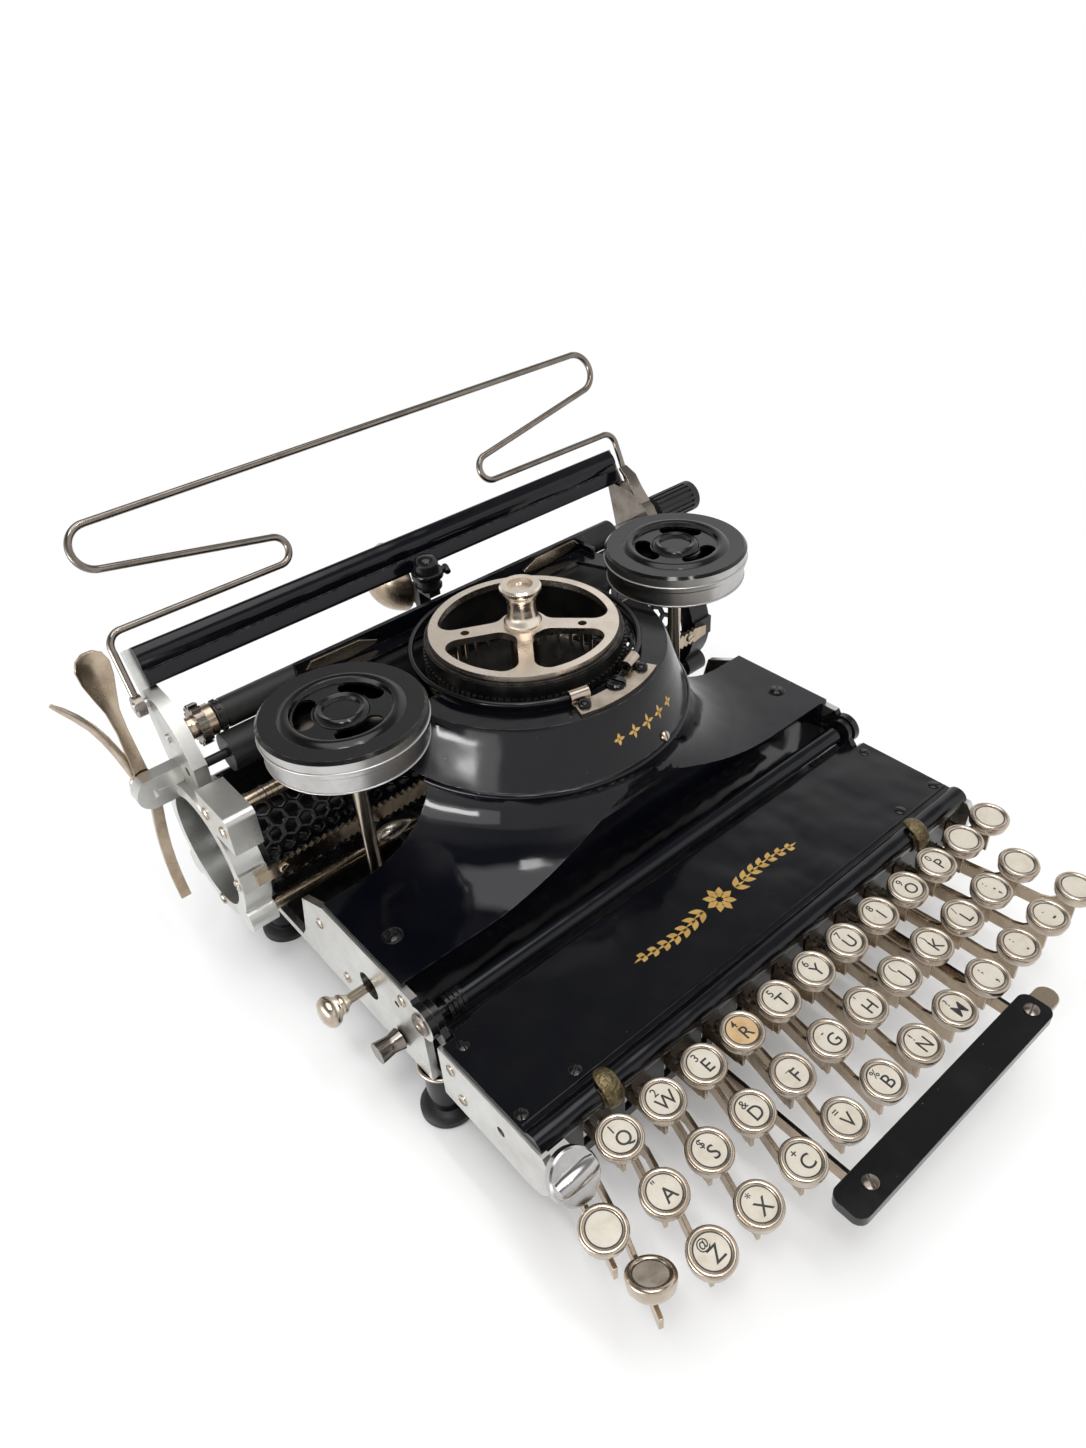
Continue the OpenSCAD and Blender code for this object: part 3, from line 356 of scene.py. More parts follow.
BRIGHT_STEEL = Finish("bright_steel", (0.50, 0.49, 0.48), (0.38, 0.37, 0.36), (0.14, 0.24), 1.0, patch=60.0,
                      grain_bump=0.03, wear=(0.74, 0.74, 0.73), specks=0.1, speck_color=(0.2, 0.19, 0.18))
NICKEL = Finish("warm_nickel", (0.52, 0.45, 0.37), (0.37, 0.30, 0.235), (0.15, 0.31), 1.0, patch=80.0,
                grain_bump=0.03, wear=(0.62, 0.53, 0.42), specks=0.1, speck_color=(0.14, 0.11, 0.08))
LEVER_NICKEL = Finish("tarnished_nickel", (0.47, 0.38, 0.285), (0.31, 0.24, 0.17), (0.16, 0.34), 1.0, patch=70.0,
                      grain_bump=0.05, wear=(0.62, 0.51, 0.39), specks=0.2, speck_color=(0.12, 0.09, 0.06))
WHEEL_NICKEL = Finish("brushed_nickel", (0.82, 0.73, 0.63), (0.72, 0.62, 0.52), (0.20, 0.36), 1.0, patch=60.0,
                      grain=(1.0, 0.10, 1.0), grain_scale=2400.0, grain_bump=0.08, wear=(0.56, 0.46, 0.36))
DARK_STEEL = Finish("dark_steel", (0.24, 0.21, 0.185), (0.15, 0.13, 0.11), (0.14, 0.30), 1.0, patch=90.0,
                    grain_bump=0.04, wear=(0.42, 0.36, 0.30), specks=0.15, speck_color=(0.06, 0.04, 0.03))
POLISHED_STEEL = Finish("polished_steel", (0.52, 0.51, 0.50), (0.36, 0.35, 0.34), (0.26, 0.40), 1.0, patch=50.0,
                        grain=(0.15, 0.15, 3.0), grain_scale=1500.0, grain_bump=0.05, specks=0.1,
                        speck_color=(0.10, 0.09, 0.08))
RUBBER = Finish("black_rubber", (0.009, 0.009, 0.009), (0.020, 0.018, 0.017), (0.36, 0.58), patch=90.0,
                grain_bump=0.25, specks=0.3, speck_color=(0.08, 0.075, 0.07), specular=0.35)
CELLULOID = Finish("cream_celluloid", (0.66, 0.61, 0.52), (0.56, 0.50, 0.40), (0.20, 0.36), patch=160.0,
                   specks=0.2, speck_color=(0.34, 0.27, 0.17))
YELLOWED = Finish("yellowed_celluloid", (0.62, 0.44, 0.24), (0.48, 0.31, 0.14), (0.20, 0.36), patch=190.0)
GREYED = Finish("greyed_celluloid", (0.34, 0.30, 0.25), (0.20, 0.17, 0.13), (0.20, 0.38), patch=190.0)
# Ink of the printed letters and scale marks; the same ink paints the ring of shade inside each key's rim.
INK_AND_SHADE = Finish("ink_and_painted_shade", (0.012, 0.012, 0.014), (0.03, 0.03, 0.032), (0.35, 0.5), patch=300.0)
GILT = Finish("gilt", (0.66, 0.42, 0.13), (0.46, 0.27, 0.07), (0.30, 0.5), 0.6, patch=200.0)
BRAID = Finish("brass_braid", (0.17, 0.13, 0.065), (0.07, 0.055, 0.03), (0.34, 0.56), 0.8, patch=500.0, specks=0.5,
               speck_color=(0.03, 0.025, 0.02), ripple=0.0006, ripple_scale=800.0)


# Mesh making


def spot(x: float, y: float, z: float) -> Matrix:
    """Return a shift to a place in millimetres."""
    return Matrix.Translation((x, y, z))


def turn(degrees: float, axis: str) -> Matrix:
    """Return a turn about X, Y or Z."""
    return Matrix.Rotation(math.radians(degrees), 4, axis)


def arc(middle: Point2, radius: float, start: float, end: float, steps: int = 12) -> list[Point2]:
    """List points on an arc.

    Args:
        middle: Centre of the arc.
        radius: Its radius.
        start: Angle in degrees where it starts.
        end: Angle where it ends.
        steps: Pieces of the arc.

    Returns:
        The points.
    """
    angles = [math.radians(start + (end - start) * k / steps) for k in range(steps + 1)]
    return [(middle[0] + radius * math.cos(a), middle[1] + radius * math.sin(a)) for a in angles]


def bead(radius: float, height: float, thick: float) -> list[Point2]:
    """List points around the section of a round bead."""
    return arc((radius, height), thick, 0.0, 330.0, 11)


def circle(radius: float, count: int) -> list[Point2]:
    """List points around a circle."""
    angles = [2.0 * math.pi * k / count for k in range(count)]
    return [(radius * math.cos(a), radius * math.sin(a)) for a in angles]


def headings(path: Sequence[Vector]) -> list[Vector]:
    """List the direction of a path at each of its points."""
    last = len(path) - 1
    return [(path[min(k + 1, last)] - path[max(k - 1, 0)]).normalized() for k in range(last + 1)]


class Maker:
    """Collects the faces of one piece, in millimetres, and makes its object.

    The methods that add a shape return the maker.
    """

    def __init__(self) -> None:
        """Start with no faces."""
        self.bm = bmesh.new()

    def corners(self, points: Iterable[Vector]) -> list[Corner]:
        """Add a corner at each point and list them."""
        return [self.bm.verts.new(point) for point in points]

    def face(self, corners: Sequence[Corner]) -> None:
        """Add a face, without repeated corners.

        Args:
            corners: Its corners in order.
        """
        unique = list(dict.fromkeys(corners))
        if len(unique) > 2:
            self.bm.faces.new(unique)

    def bridge(self, rings: Sequence[Sequence[Corner]]) -> "Maker":
        """Join each ring of corners to the next.

        Args:
            rings: Rings of equal length, or of one corner where the form ends in a point.
        """
        for low, high in zip(rings, rings[1:]):
            for k in range(max(len(low), len(high))):
                here, there = ((ring[k % len(ring)], ring[(k + 1) % len(ring)]) for ring in (low, high))
                self.face([*here, *there[::-1]])
        return self

    def loft(self, rings: Sequence[Sequence[Corner]]) -> "Maker":
        """Join rings of corners, and close both ends.

        Args:
            rings: The rings, from one end to the other.
        """
        self.bridge(rings)
        self.face(rings[0][::-1])
        self.face(rings[-1])
        return self

    def sweep(self, profile: Sequence[Point2], place: Matrix, steps: int) -> list[list[Corner]]:
        """Carry the points of a profile around the place's Z axis.

        Args:
            profile: Points of radius and height.
            place: Where the form stands.
            steps: Corners around.

        Returns:
            A ring of corners for each point, or a single one on the axis.
        """
        return [
            self.corners(place @ Vector((x, y, height)) for x, y in circle(radius, steps if radius > 0.0 else 1))
            for radius, height in profile
        ]

    def lathe(self, profile: Sequence[Point2], place: Matrix, steps: int = 48) -> "Maker":
        """Turn a profile of radii and heights, from end to end, about the place's Z axis."""
        return self.loft(self.sweep(profile, place, steps))

    def ring(self, profile: Sequence[Point2], place: Matrix, steps: int = 48) -> "Maker":
        """Turn a closed profile of radii and heights about the place's Z axis."""
        rings = self.sweep(profile, place, steps)
        return self.bridge([*rings, rings[0]])

    def tube(self, path: Sequence[Vector], radius: Sequence[float] | float, sides: int = 12,
             flat: float = 1.0) -> "Maker":
        """Run a round or flattened bar along a path.

        Args:
            path: Points in millimetres.
            radius: One radius, or one for each point.
            sides: Faces around.
            flat: Height over width of the section.
        """
        radii = [radius] * len(path) if isinstance(radius, (int, float)) else radius
        up = Vector((0.0, 0.0, 1.0))
        rings = []
        for point, ahead, reach in zip(path, headings(path), radii):
            if abs(ahead.dot(up)) > 0.95:
                up = Vector((0.0, 1.0, 0.0))
            side = ahead.cross(up).normalized()
            up = side.cross(ahead).normalized()
            rings.append(self.corners(point + reach * (x * side + flat * y * up) for x, y in circle(1.0, sides)))
        return self.loft(rings)

    def strip(self, path: Sequence[Vector], widths: Sequence[float], across: Vector, thick: float,
              dish: float = 0.0, cells: int = 8) -> "Maker":
        """Bend a flat strip along a path, with a hollow along its middle.

        Args:
            path: Points of the middle line in millimetres.
            widths: Half width at each point.
            across: Direction of the width.
            thick: Thickness of the strip.
            dish: Depth of the hollow where the strip is widest.
            cells: Faces across.
        """
        widest = max(widths)
        layers = []
        for point, ahead, width in zip(path, headings(path), widths):
            out = ahead.cross(across).normalized()
            row = []
            for side in (0.0, thick):
                for j in range(cells + 1):
                    u = 2.0 * j / cells - 1.0
                    sink = dish * (width / widest) ** 2 * (1.0 - u * u)
                    row.append(self.bm.verts.new(point + u * width * across + (side - sink) * out))
            layers.append(row[:cells + 1] + row[:cells:-1])
        return self.loft(layers)

    def words(self, text: str, size: float, place: Matrix, weight: float = 0.0) -> "Maker":
        """Add raised letters in Blender's own plain font.

        Args:
            text: The letters.
            size: Size of the font in millimetres.
            place: Middle of the letters, with Y to their top and Z out of the surface.
            weight: How much bolder they are, in millimetres.
        """
        curve = bpy.data.curves.new("words", "FONT")
        curve.body, curve.size, curve.offset = text, size, weight
        curve.align_x, curve.align_y = "CENTER", "CENTER"
        curve.extrude, curve.resolution_u = 0.03, 4
        holder = bpy.data.objects.new("words", curve)
        mesh = bpy.data.meshes.new_from_object(holder)
        mesh.transform(place)
        self.bm.from_mesh(mesh)
        for block, store in ((holder, bpy.data.objects), (mesh, bpy.data.meshes), (curve, bpy.data.curves)):
            store.remove(block)
        return self

    def prism(self, outline: Sequence[Point2], low: float, high: float, place: Matrix) -> "Maker":
        """Raise a flat outline from one height to another along the place's Z axis."""
        return self.loft([self.corners(place @ Vector((x, y, z)) for x, y in outline) for z in (low, high)])

    def leaf(self, place: Matrix, length: float, width: float) -> "Maker":
        """Add a thin leaf of gilt that starts at a place and points along its X axis.

        Args:
            place: Where the leaf starts, on the enamel.
            length: Its length.
            width: Its half width.
        """
        cells, raised = 8, 0.05
        upper = [(length * k / cells, width * math.sin(math.pi * (k / cells) ** 0.8)) for k in range(cells + 1)]
        lower = [(x, -y) for x, y in upper[cells - 1:0:-1]]
        return self.prism([*upper, *lower][::-1], -raised, raised, place)

    def screw(self, place: Matrix, radius: float, height: float = 0.8, slot_turn: float = 20.0) -> "Maker":
        """Add a slotted screw head whose underside is at the place.

        Args:
            place: Middle of the head's seat, with Z out of the surface.
            radius: Radius of the head.
            height: Height of the head.
            slot_turn: Turn of the slot.
        """
        gap, crown, sunk = 0.16 * radius, 0.8, -0.3
        reach = math.degrees(math.asin(gap / radius))
        rim = arc((0.0, 0.0), radius, reach, 180.0 - reach, 14)
        top = [(crown * x, gap + crown * (y - gap)) for x, y in rim]
        for half in (0.0, 180.0):
            head = place @ turn(slot_turn + half, "Z")
            rings = [
                self.corners(head @ Vector((x, y, z)) for x, y in outline)
                for outline, z in ((rim, sunk), (rim, 0.55 * height), (top, height))
            ]
            self.bridge(rings).face(rings[-1])
        inside, floor = 0.96 * radius, 0.3 * height
        return self.lathe([(inside, sunk), (inside, floor), (0.0, floor)], place, 24)

    def side_screws(self, x: float, points: Sequence[Point2], radius: float, height: float, slots: Point2) -> "Maker":
        """Add the same screws on the left and on the right.

        Args:
            x: How far from the middle their seats are.
            points: Y and Z of each screw.
            radius: Radius of the heads.
            height: Height of the heads.
            slots: Turn of the first slot, and from one slot to the next.
        """
        for side in SIDES:
            for k, (y, z) in enumerate(points):
                self.screw(spot(side * x, y, z) @ turn(90.0 * side, "Y"), radius, height, slots[0] + slots[1] * k)
        return self

    def build(self, name: str, finish: Finish, body: Body | str, slot: Slot, bevel: float = 0.0,
              smooth: float = 40.0) -> bpy.types.Object:
        """Make the object, finish it and let it ride.

        Args:
            name: Name of the piece.
            finish: Its finish.
            body: The body it rides on.
            slot: The record's slot for the piece; not used.
            bevel: Radius of its edges in millimetres.
            smooth: Angle in degrees below which faces run into each other.

        Returns:
            The piece.
        """
        bmesh.ops.recalc_face_normals(self.bm, faces=self.bm.faces)
        bmesh.ops.scale(self.bm, vec=(MM, MM, MM), verts=self.bm.verts)
        mesh = bpy.data.meshes.new(name)
        self.bm.to_mesh(mesh)
        self.bm.free()
        piece = bpy.data.objects.new(name, mesh)
        bpy.context.scene.collection.objects.link(piece)
        mesh.materials.append(finish.make())
        mesh.shade_smooth()
        mesh.set_sharp_from_angle(angle=math.radians(smooth))
        if bevel > 0.0:
            round_edges(piece, bevel)
        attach(piece, body.value if isinstance(body, Body) else body)
        LOG.info("piece %s: %d faces", name, len(mesh.polygons))
        return piece


def round_edges(piece: bpy.types.Object, radius: float, angle: float = 38.0) -> None:
    """Round the edges of a piece with modifiers.

    Args:
        piece: The piece.
        radius: Radius of the edges in millimetres.
        angle: Angle in degrees above which an edge is rounded.
    """
    weld = piece.modifiers.new("weld", "WELD")
    weld.merge_threshold = 0.00001
    bevel = piece.modifiers.new("edges", "BEVEL")
    bevel.width = radius * MM
    bevel.segments = 3
    bevel.limit_method = "ANGLE"
    bevel.angle_limit = math.radians(angle)
    bevel.harden_normals = True
    bevel.use_clamp_overlap = True


def paint(node: str, finish: Finish, rules: Sequence[tuple[FaceTest, Finish]] = (), bevel: float = 0.0) -> None:
    """Finish a node of the part, with other finishes on some of its faces.

    Args:
        node: Name of the node.
        finish: Its main finish.
        rules: Tests on a face's middle in millimetres and its normal, each with the finish of those faces.
        bevel: Radius of its edges in millimetres.
    """
    piece = frame["nodes"][node]
    mesh = piece.data
    mesh.materials.clear()
    if bevel > 0.0 and "custom_normal" in mesh.attributes:
        mesh.attributes.remove(mesh.attributes["custom_normal"])
        mesh.shade_smooth()
    for one in (finish, *(rule[1] for rule in rules)):
        mesh.materials.append(one.make())
    for face in mesh.polygons:
        middle = face.center / MM
        face.material_index = next((k + 1 for k, rule in enumerate(rules) if rule[0](middle, face.normal)), 0)
    if bevel > 0.0:
        round_edges(piece, bevel)
    LOG.info("node %s: %s", node, finish.name)


# Sub-assemblies


@dataclass
class Base:
    """Base half: plates, bed, feet, shroud, rods and bell."""

    hinge: Point2 = (-26.0, 63.0)
    plate_x: float = 119.5
    plate_screws: Sequence[Point2] = ((-14.6, 65.0), (44.0, 58.0), (30.0, 38.0))
    foot_x: float = 112.0
    foot_ys: Point2 = (-20.0, 107.0)
    foot_top: float = 29.0
    foot_r: float = 8.3
    wing_screw: Point3 = (108.0, 6.0, 73.0)
    bushing: Sequence[Point2] = ((0.0, 0.0), (4.6, 0.0), (4.6, 4.3), (4.0, 4.9), (1.8, 4.9), (1.4, 4.5), (0.0, 4.5))
    finger_stem: Sequence[Point3] = ((-60.0, 68.0, 33.5), (-63.0, 67.0, 48.0), (-71.0, 60.8, 65.0))
    finger_at: Point3 = (-72.0, 60.0, 66.5)
    finger: Sequence[Point2] = ((0.0, -9.0), (1.6, -8.6), (3.0, -6.5), (3.7, -3.0), (3.6, 0.5), (2.6, 4.5), (1.2, 8.0),
                                (0.0, 9.0))
    pull_at: Point3 = (-94.5, 11.0, 50.0)
    pull: Sequence[Point2] = ((0.0, 0.0), (2.0, 0.0), (2.0, 33.5), (2.5, 35.0), (3.7, 36.4), (4.0, 37.4), (3.7, 38.2),
                              (4.3, 39.2), (5.6, 40.4), (6.1, 41.6), (6.2, 42.8), (5.8, 44.0), (4.8, 45.0), (3.0, 45.8),
                              (0.0, 46.0))
    hammer_y: float = 122.0
    hammer_rings: Sequence[Sequence[Point2]] = (
        ((5.3, 133.4), (7.0, 133.4), (7.3, 133.8), (7.3, 136.2), (7.0, 136.6), (5.3, 136.6)),
        ((5.3, 128.0), (5.9, 128.0), (6.1, 128.3), (6.1, 129.4), (5.3, 129.4)))
    hammer_cap: Sequence[Point2] = ((5.5, 140.3), (5.0, 142.0), (3.4, 143.3), (0.0, 143.8))
    hammer_arm: Sequence[Point2] = ((6.5, -1.4), (10.0, -1.2), (10.0, 1.2), (6.5, 1.4))
    hammer_pin: Sequence[Point2] = ((1.5, -2.6), (1.5, 2.6), (1.1, 3.0), (0.0, 3.0))

    def build(self) -> None:
        """Add the base's small pieces."""
        self.build_plates()
        self.build_controls()
        self.build_hammer()

    def build_plates(self) -> None:
        """Add the rings of the feet, the screws, and the bushings of the hinge."""
        rings, wing, bush = Maker(), Maker(), Maker()
        for side in SIDES:
            for y in self.foot_ys:
                rings.ring(bead(self.foot_r, self.foot_top - 1.0, 0.9), spot(side * self.foot_x, y, 0.0), 40)
        rings.build("foot_rings", NICKEL, Body.BASE, Slot.NICKEL)
        screws = Maker().side_screws(self.plate_x, self.plate_screws, 2.4, 0.7, (25.0, 50.0))
        screws.build("plate_screws", NICKEL, Body.BASE, Slot.NICKEL)
        x, y, z = self.wing_screw
        for side in SIDES:
            place = spot(side * x, y, z)
            wing.ring([(3.2, -0.2), (4.0, -0.2), (4.0, 0.25), (3.4, 0.35)], place, 32)
            wing.screw(place, 3.0, 0.9, 35.0)
        wing.build("wing_screws", SATIN_JAPAN, Body.BASE, Slot.JAPAN)
        for side in SIDES:
            bush.lathe(self.bushing, spot(side * (self.plate_x - 3.6), *self.hinge) @ turn(90.0 * side, "Y"), 36)
        bush.build("hinge_bushings", DARK_STEEL, Body.BASE, Slot.STEEL)

    def build_controls(self) -> None:
        """Add the finger piece by the left spool, and the pull handle."""
        finger = Maker().tube([Vector(point) for point in self.finger_stem], 1.3)
        finger.lathe(self.finger, spot(*self.finger_at) @ turn(92.0, "Y"), 28)
        finger.build("finger_piece", WHEEL_NICKEL, Body.BASE, Slot.NICKEL)
        pull = Maker().lathe(self.pull, spot(*self.pull_at) @ turn(-90.0, "Y"))
        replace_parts(pull.build("pull_handle", NICKEL, Body.PULL, Slot.NICKEL), "pull_knob")

    def build_hammer(self) -> None:
        """Add the collars, cap and arm of the post behind the turret."""
        collar = Maker()
        post = spot(0.0, self.hammer_y, 0.0)
        for profile in self.hammer_rings:
            collar.ring(profile, post, 40)
        collar.lathe(self.hammer_cap, post, 32)
        arm = post @ turn(-20.0, "Z")
        collar.prism(self.hammer_arm, 133.8, 136.2, arm)
        collar.lathe(self.hammer_pin, arm @ spot(8.8, 0.0, 135.0) @ turn(90.0, "X"), 16)
        collar.build("hammer_collar", SATIN_JAPAN, Body.BASE, Slot.JAPAN)

    def dress(self) -> None:
        """Finish the nodes of the base."""
        paint("side_plates", ALUMINIUM, [(self.is_knuckle, SATIN_JAPAN)])
        paint("bed_plate", DULL_JAPAN, bevel=0.4)
        paint("feet", JAPAN, [(lambda p, n: p.z < 6.0, RUBBER)], bevel=0.3)
        paint("shroud", JAPAN, bevel=1.0)
        paint("frame_rods", NICKEL, [(self.is_black_rod, JAPAN), (lambda p, n: p.x < -100.0, DARK_STEEL)], bevel=0.25)
        paint("bell", LEVER_NICKEL, bevel=0.2)

    def is_knuckle(self, middle: Vector, normal: Vector) -> bool:
        """Return whether a face is on the rim or the inside of a hinge ear."""
        off = math.hypot(middle.y - self.hinge[0], middle.z - self.hinge[1])
        return off < 9.0 and normal.x * middle.x < 0.7 * abs(middle.x)

    def is_black_rod(self, middle: Vector, normal: Vector) -> bool:
        """Return whether a face of the rods is on the black hinge rod."""
        return abs(middle.y - self.hinge[0]) < 8.0 and abs(middle.z - self.hinge[1]) < 8.0


@dataclass
class Turret:
    """Turret: hood, clip, type wheel and ribbon spools."""

    axis_y: float = 54.0
    deck_z: float = 128.0
    wheel_z: float = 135.0
    types: int = 96
    type_zs: Sequence[float] = (119.0, 123.5, 128.0)
    type_face: Sequence[Point2] = ((-0.9, -1.3), (0.9, -1.3), (0.7, 1.3), (-0.7, 1.3))
    rim_tooth: Sequence[Point2] = ((-0.45, -0.9), (0.45, -0.9), (0.3, 0.9), (-0.3, 0.9))
    floor: Sequence[Point2] = ((6.0, 104.0), (9.0, 104.0), (9.0, 108.0), (35.0, 108.0), (36.0, 109.0), (35.0, 110.0),
                               (9.0, 110.0), (8.0, 114.0), (6.0, 114.0))
    pins: int = 30
    pin: Sequence[Point2] = ((0.9, 0.0), (0.9, 11.0), (0.5, 12.0), (0.0, 12.0))
    clip_head: Sequence[Point2] = ((2.6, -0.3), (2.6, 0.8), (2.2, 1.5), (1.2, 1.9), (0.0, 2.0))
    shield_y: float = 104.5
    shield_plate: Sequence[Point2] = ((-75.0, 127.4), (-72.0, 130.4), (-49.0, 130.0), (-40.5, 126.4), (-42.0, 125.0),
                                      (-54.3, 124.0), (-66.0, 125.4))
    spool_x: float = 87.2
    spool_y: float = 52.3
    lid_z: float = 136.0
    post_z: float = 118.0

    def build(self) -> None:
        """Add the turret's small pieces."""
        self.build_types()
        self.build_inside()
        self.build_hood()
        self.build_plates()

    @property
    def axis(self) -> Matrix:
        """Return the place of the turret's axis."""
        return spot(0.0, self.axis_y, 0.0)

    def build_types(self) -> None:
        """Add rows of type faces to the wheel, and teeth to its rim."""
        types = Maker()
        upright = turn(90.0, "Y") @ turn(90.0, "Z")
        for k in range(self.types):
            for z in self.type_zs:
                at = self.axis @ turn(360.0 * k / self.types, "Z") @ spot(40.9, 0.0, z)
                types.prism(self.type_face, 0.0, 1.0, at @ upright)
        for k in range(2 * self.types):
            at = self.axis @ turn(180.0 * k / self.types, "Z") @ spot(40.1, 0.0, self.wheel_z)
            types.prism(self.rim_tooth, -0.4, 0.5, at)
        types.build("type_faces", DULL_JAPAN, Body.TYPE_WHEEL, Slot.JAPAN)

    def build_inside(self) -> None:
        """Add the floor and the stop pins that show between the wheel's spokes."""
        Maker().lathe(self.floor, self.axis, 64).build("turret_floor", DULL_JAPAN, Body.BASE, Slot.JAPAN)
        pins = Maker()
        for k in range(self.pins):
            pins.lathe(self.pin, self.axis @ turn(360.0 / self.pins * k, "Z") @ spot(31.0, 0.0, 109.5), 10)
        pins.build("stop_pins", LEVER_NICKEL, Body.BASE, Slot.NICKEL)

    def build_hood(self) -> None:
        """Add the screws of the clip and the hood, and the hood's gilt stars."""
        heads, gilt = Maker(), Maker()
        seat = self.deck_z + 1.2
        for angle in (-104.0, -68.0):
            heads.lathe(self.clip_head, self.axis @ turn(angle, "Z") @ spot(52.0, 0.0, seat), 24)
        heads.screw(self.axis @ turn(-84.0, "Z") @ spot(49.0, 0.0, seat), 4.2, 1.4, 10.0)
        heads.build("clip_screws", JAPAN, Body.BASE, Slot.JAPAN)
        screw = Maker().screw(self.axis @ turn(-76.0, "Z") @ spot(66.4, 0.0, 106.0) @ turn(70.0, "Y"), 2.2, 1.2, 0.0)
        screw.build("hood_screw", NICKEL, Body.BASE, Slot.NICKEL)
        for k in range(-2, 3):
            at = self.axis @ turn(-82.0 + 7.0 * k, "Z") @ spot(63.0, 0.0, 116.0) @ turn(71.6, "Y")
            for lean in (0.0, 90.0, 180.0, 270.0):
                gilt.leaf(at @ turn(lean, "Z") @ spot(0.2, 0.0, 0.05), 3.4 - 0.5 * abs(k), 0.7)
        gilt.build("hood_ornament", GILT, Body.BASE, Slot.JAPAN)

    def build_plates(self) -> None:
        """Add the plates on the shield, and the bands around the spool cases."""
        plates, bands = Maker(), Maker()
        for points in (self.shield_plate, [(-x, z) for x, z in self.shield_plate][::-1]):
            plates.prism(points, -0.2, 0.8, spot(0.0, self.shield_y, 0.0) @ turn(90.0, "X"))
        plates.build("shield_plates", LEVER_NICKEL, Body.BASE, Slot.NICKEL, 0.2)
        for side in SIDES:
            at = spot(side * self.spool_x, self.spool_y, 0.0)
            bands.ring(bead(31.75, self.lid_z, 0.42), at, 72)
            bands.ring(bead(30.75, 126.6, 0.35), at, 72)
        bands.build("spool_bands", POLISHED_STEEL, Body.BASE, Slot.STEEL)

    def dress(self) -> None:
        """Finish the nodes of the turret."""
        paint("turret_hood", HOOD_JAPAN, bevel=0.8)
        paint("turret_clip", NICKEL, bevel=0.25)
        paint("type_wheel", WHEEL_NICKEL, [(lambda p, n: p.z < self.wheel_z - 0.01, DULL_JAPAN)], bevel=0.4)
        paint("spool_cases", SATIN_JAPAN, [(self.is_post, WHEEL_NICKEL), (self.is_cup, POLISHED_STEEL)], bevel=0.3)
        for side in ("left", "right"):
            paint(f"{side}_ribbon_spool", DARK_STEEL)

    def is_post(self, middle: Vector, normal: Vector) -> bool:
        """Return whether a face of a spool case is on the post under its cup."""
        return middle.z < self.post_z

    def is_cup(self, middle: Vector, normal: Vector) -> bool:
        """Return whether a face of a spool case is on its bright cup."""
        off = math.hypot(abs(middle.x) - self.spool_x, middle.y - self.spool_y)
        return middle.z < self.lid_z + 0.01 or (off > 31.0 and abs(normal.z) < 0.5)


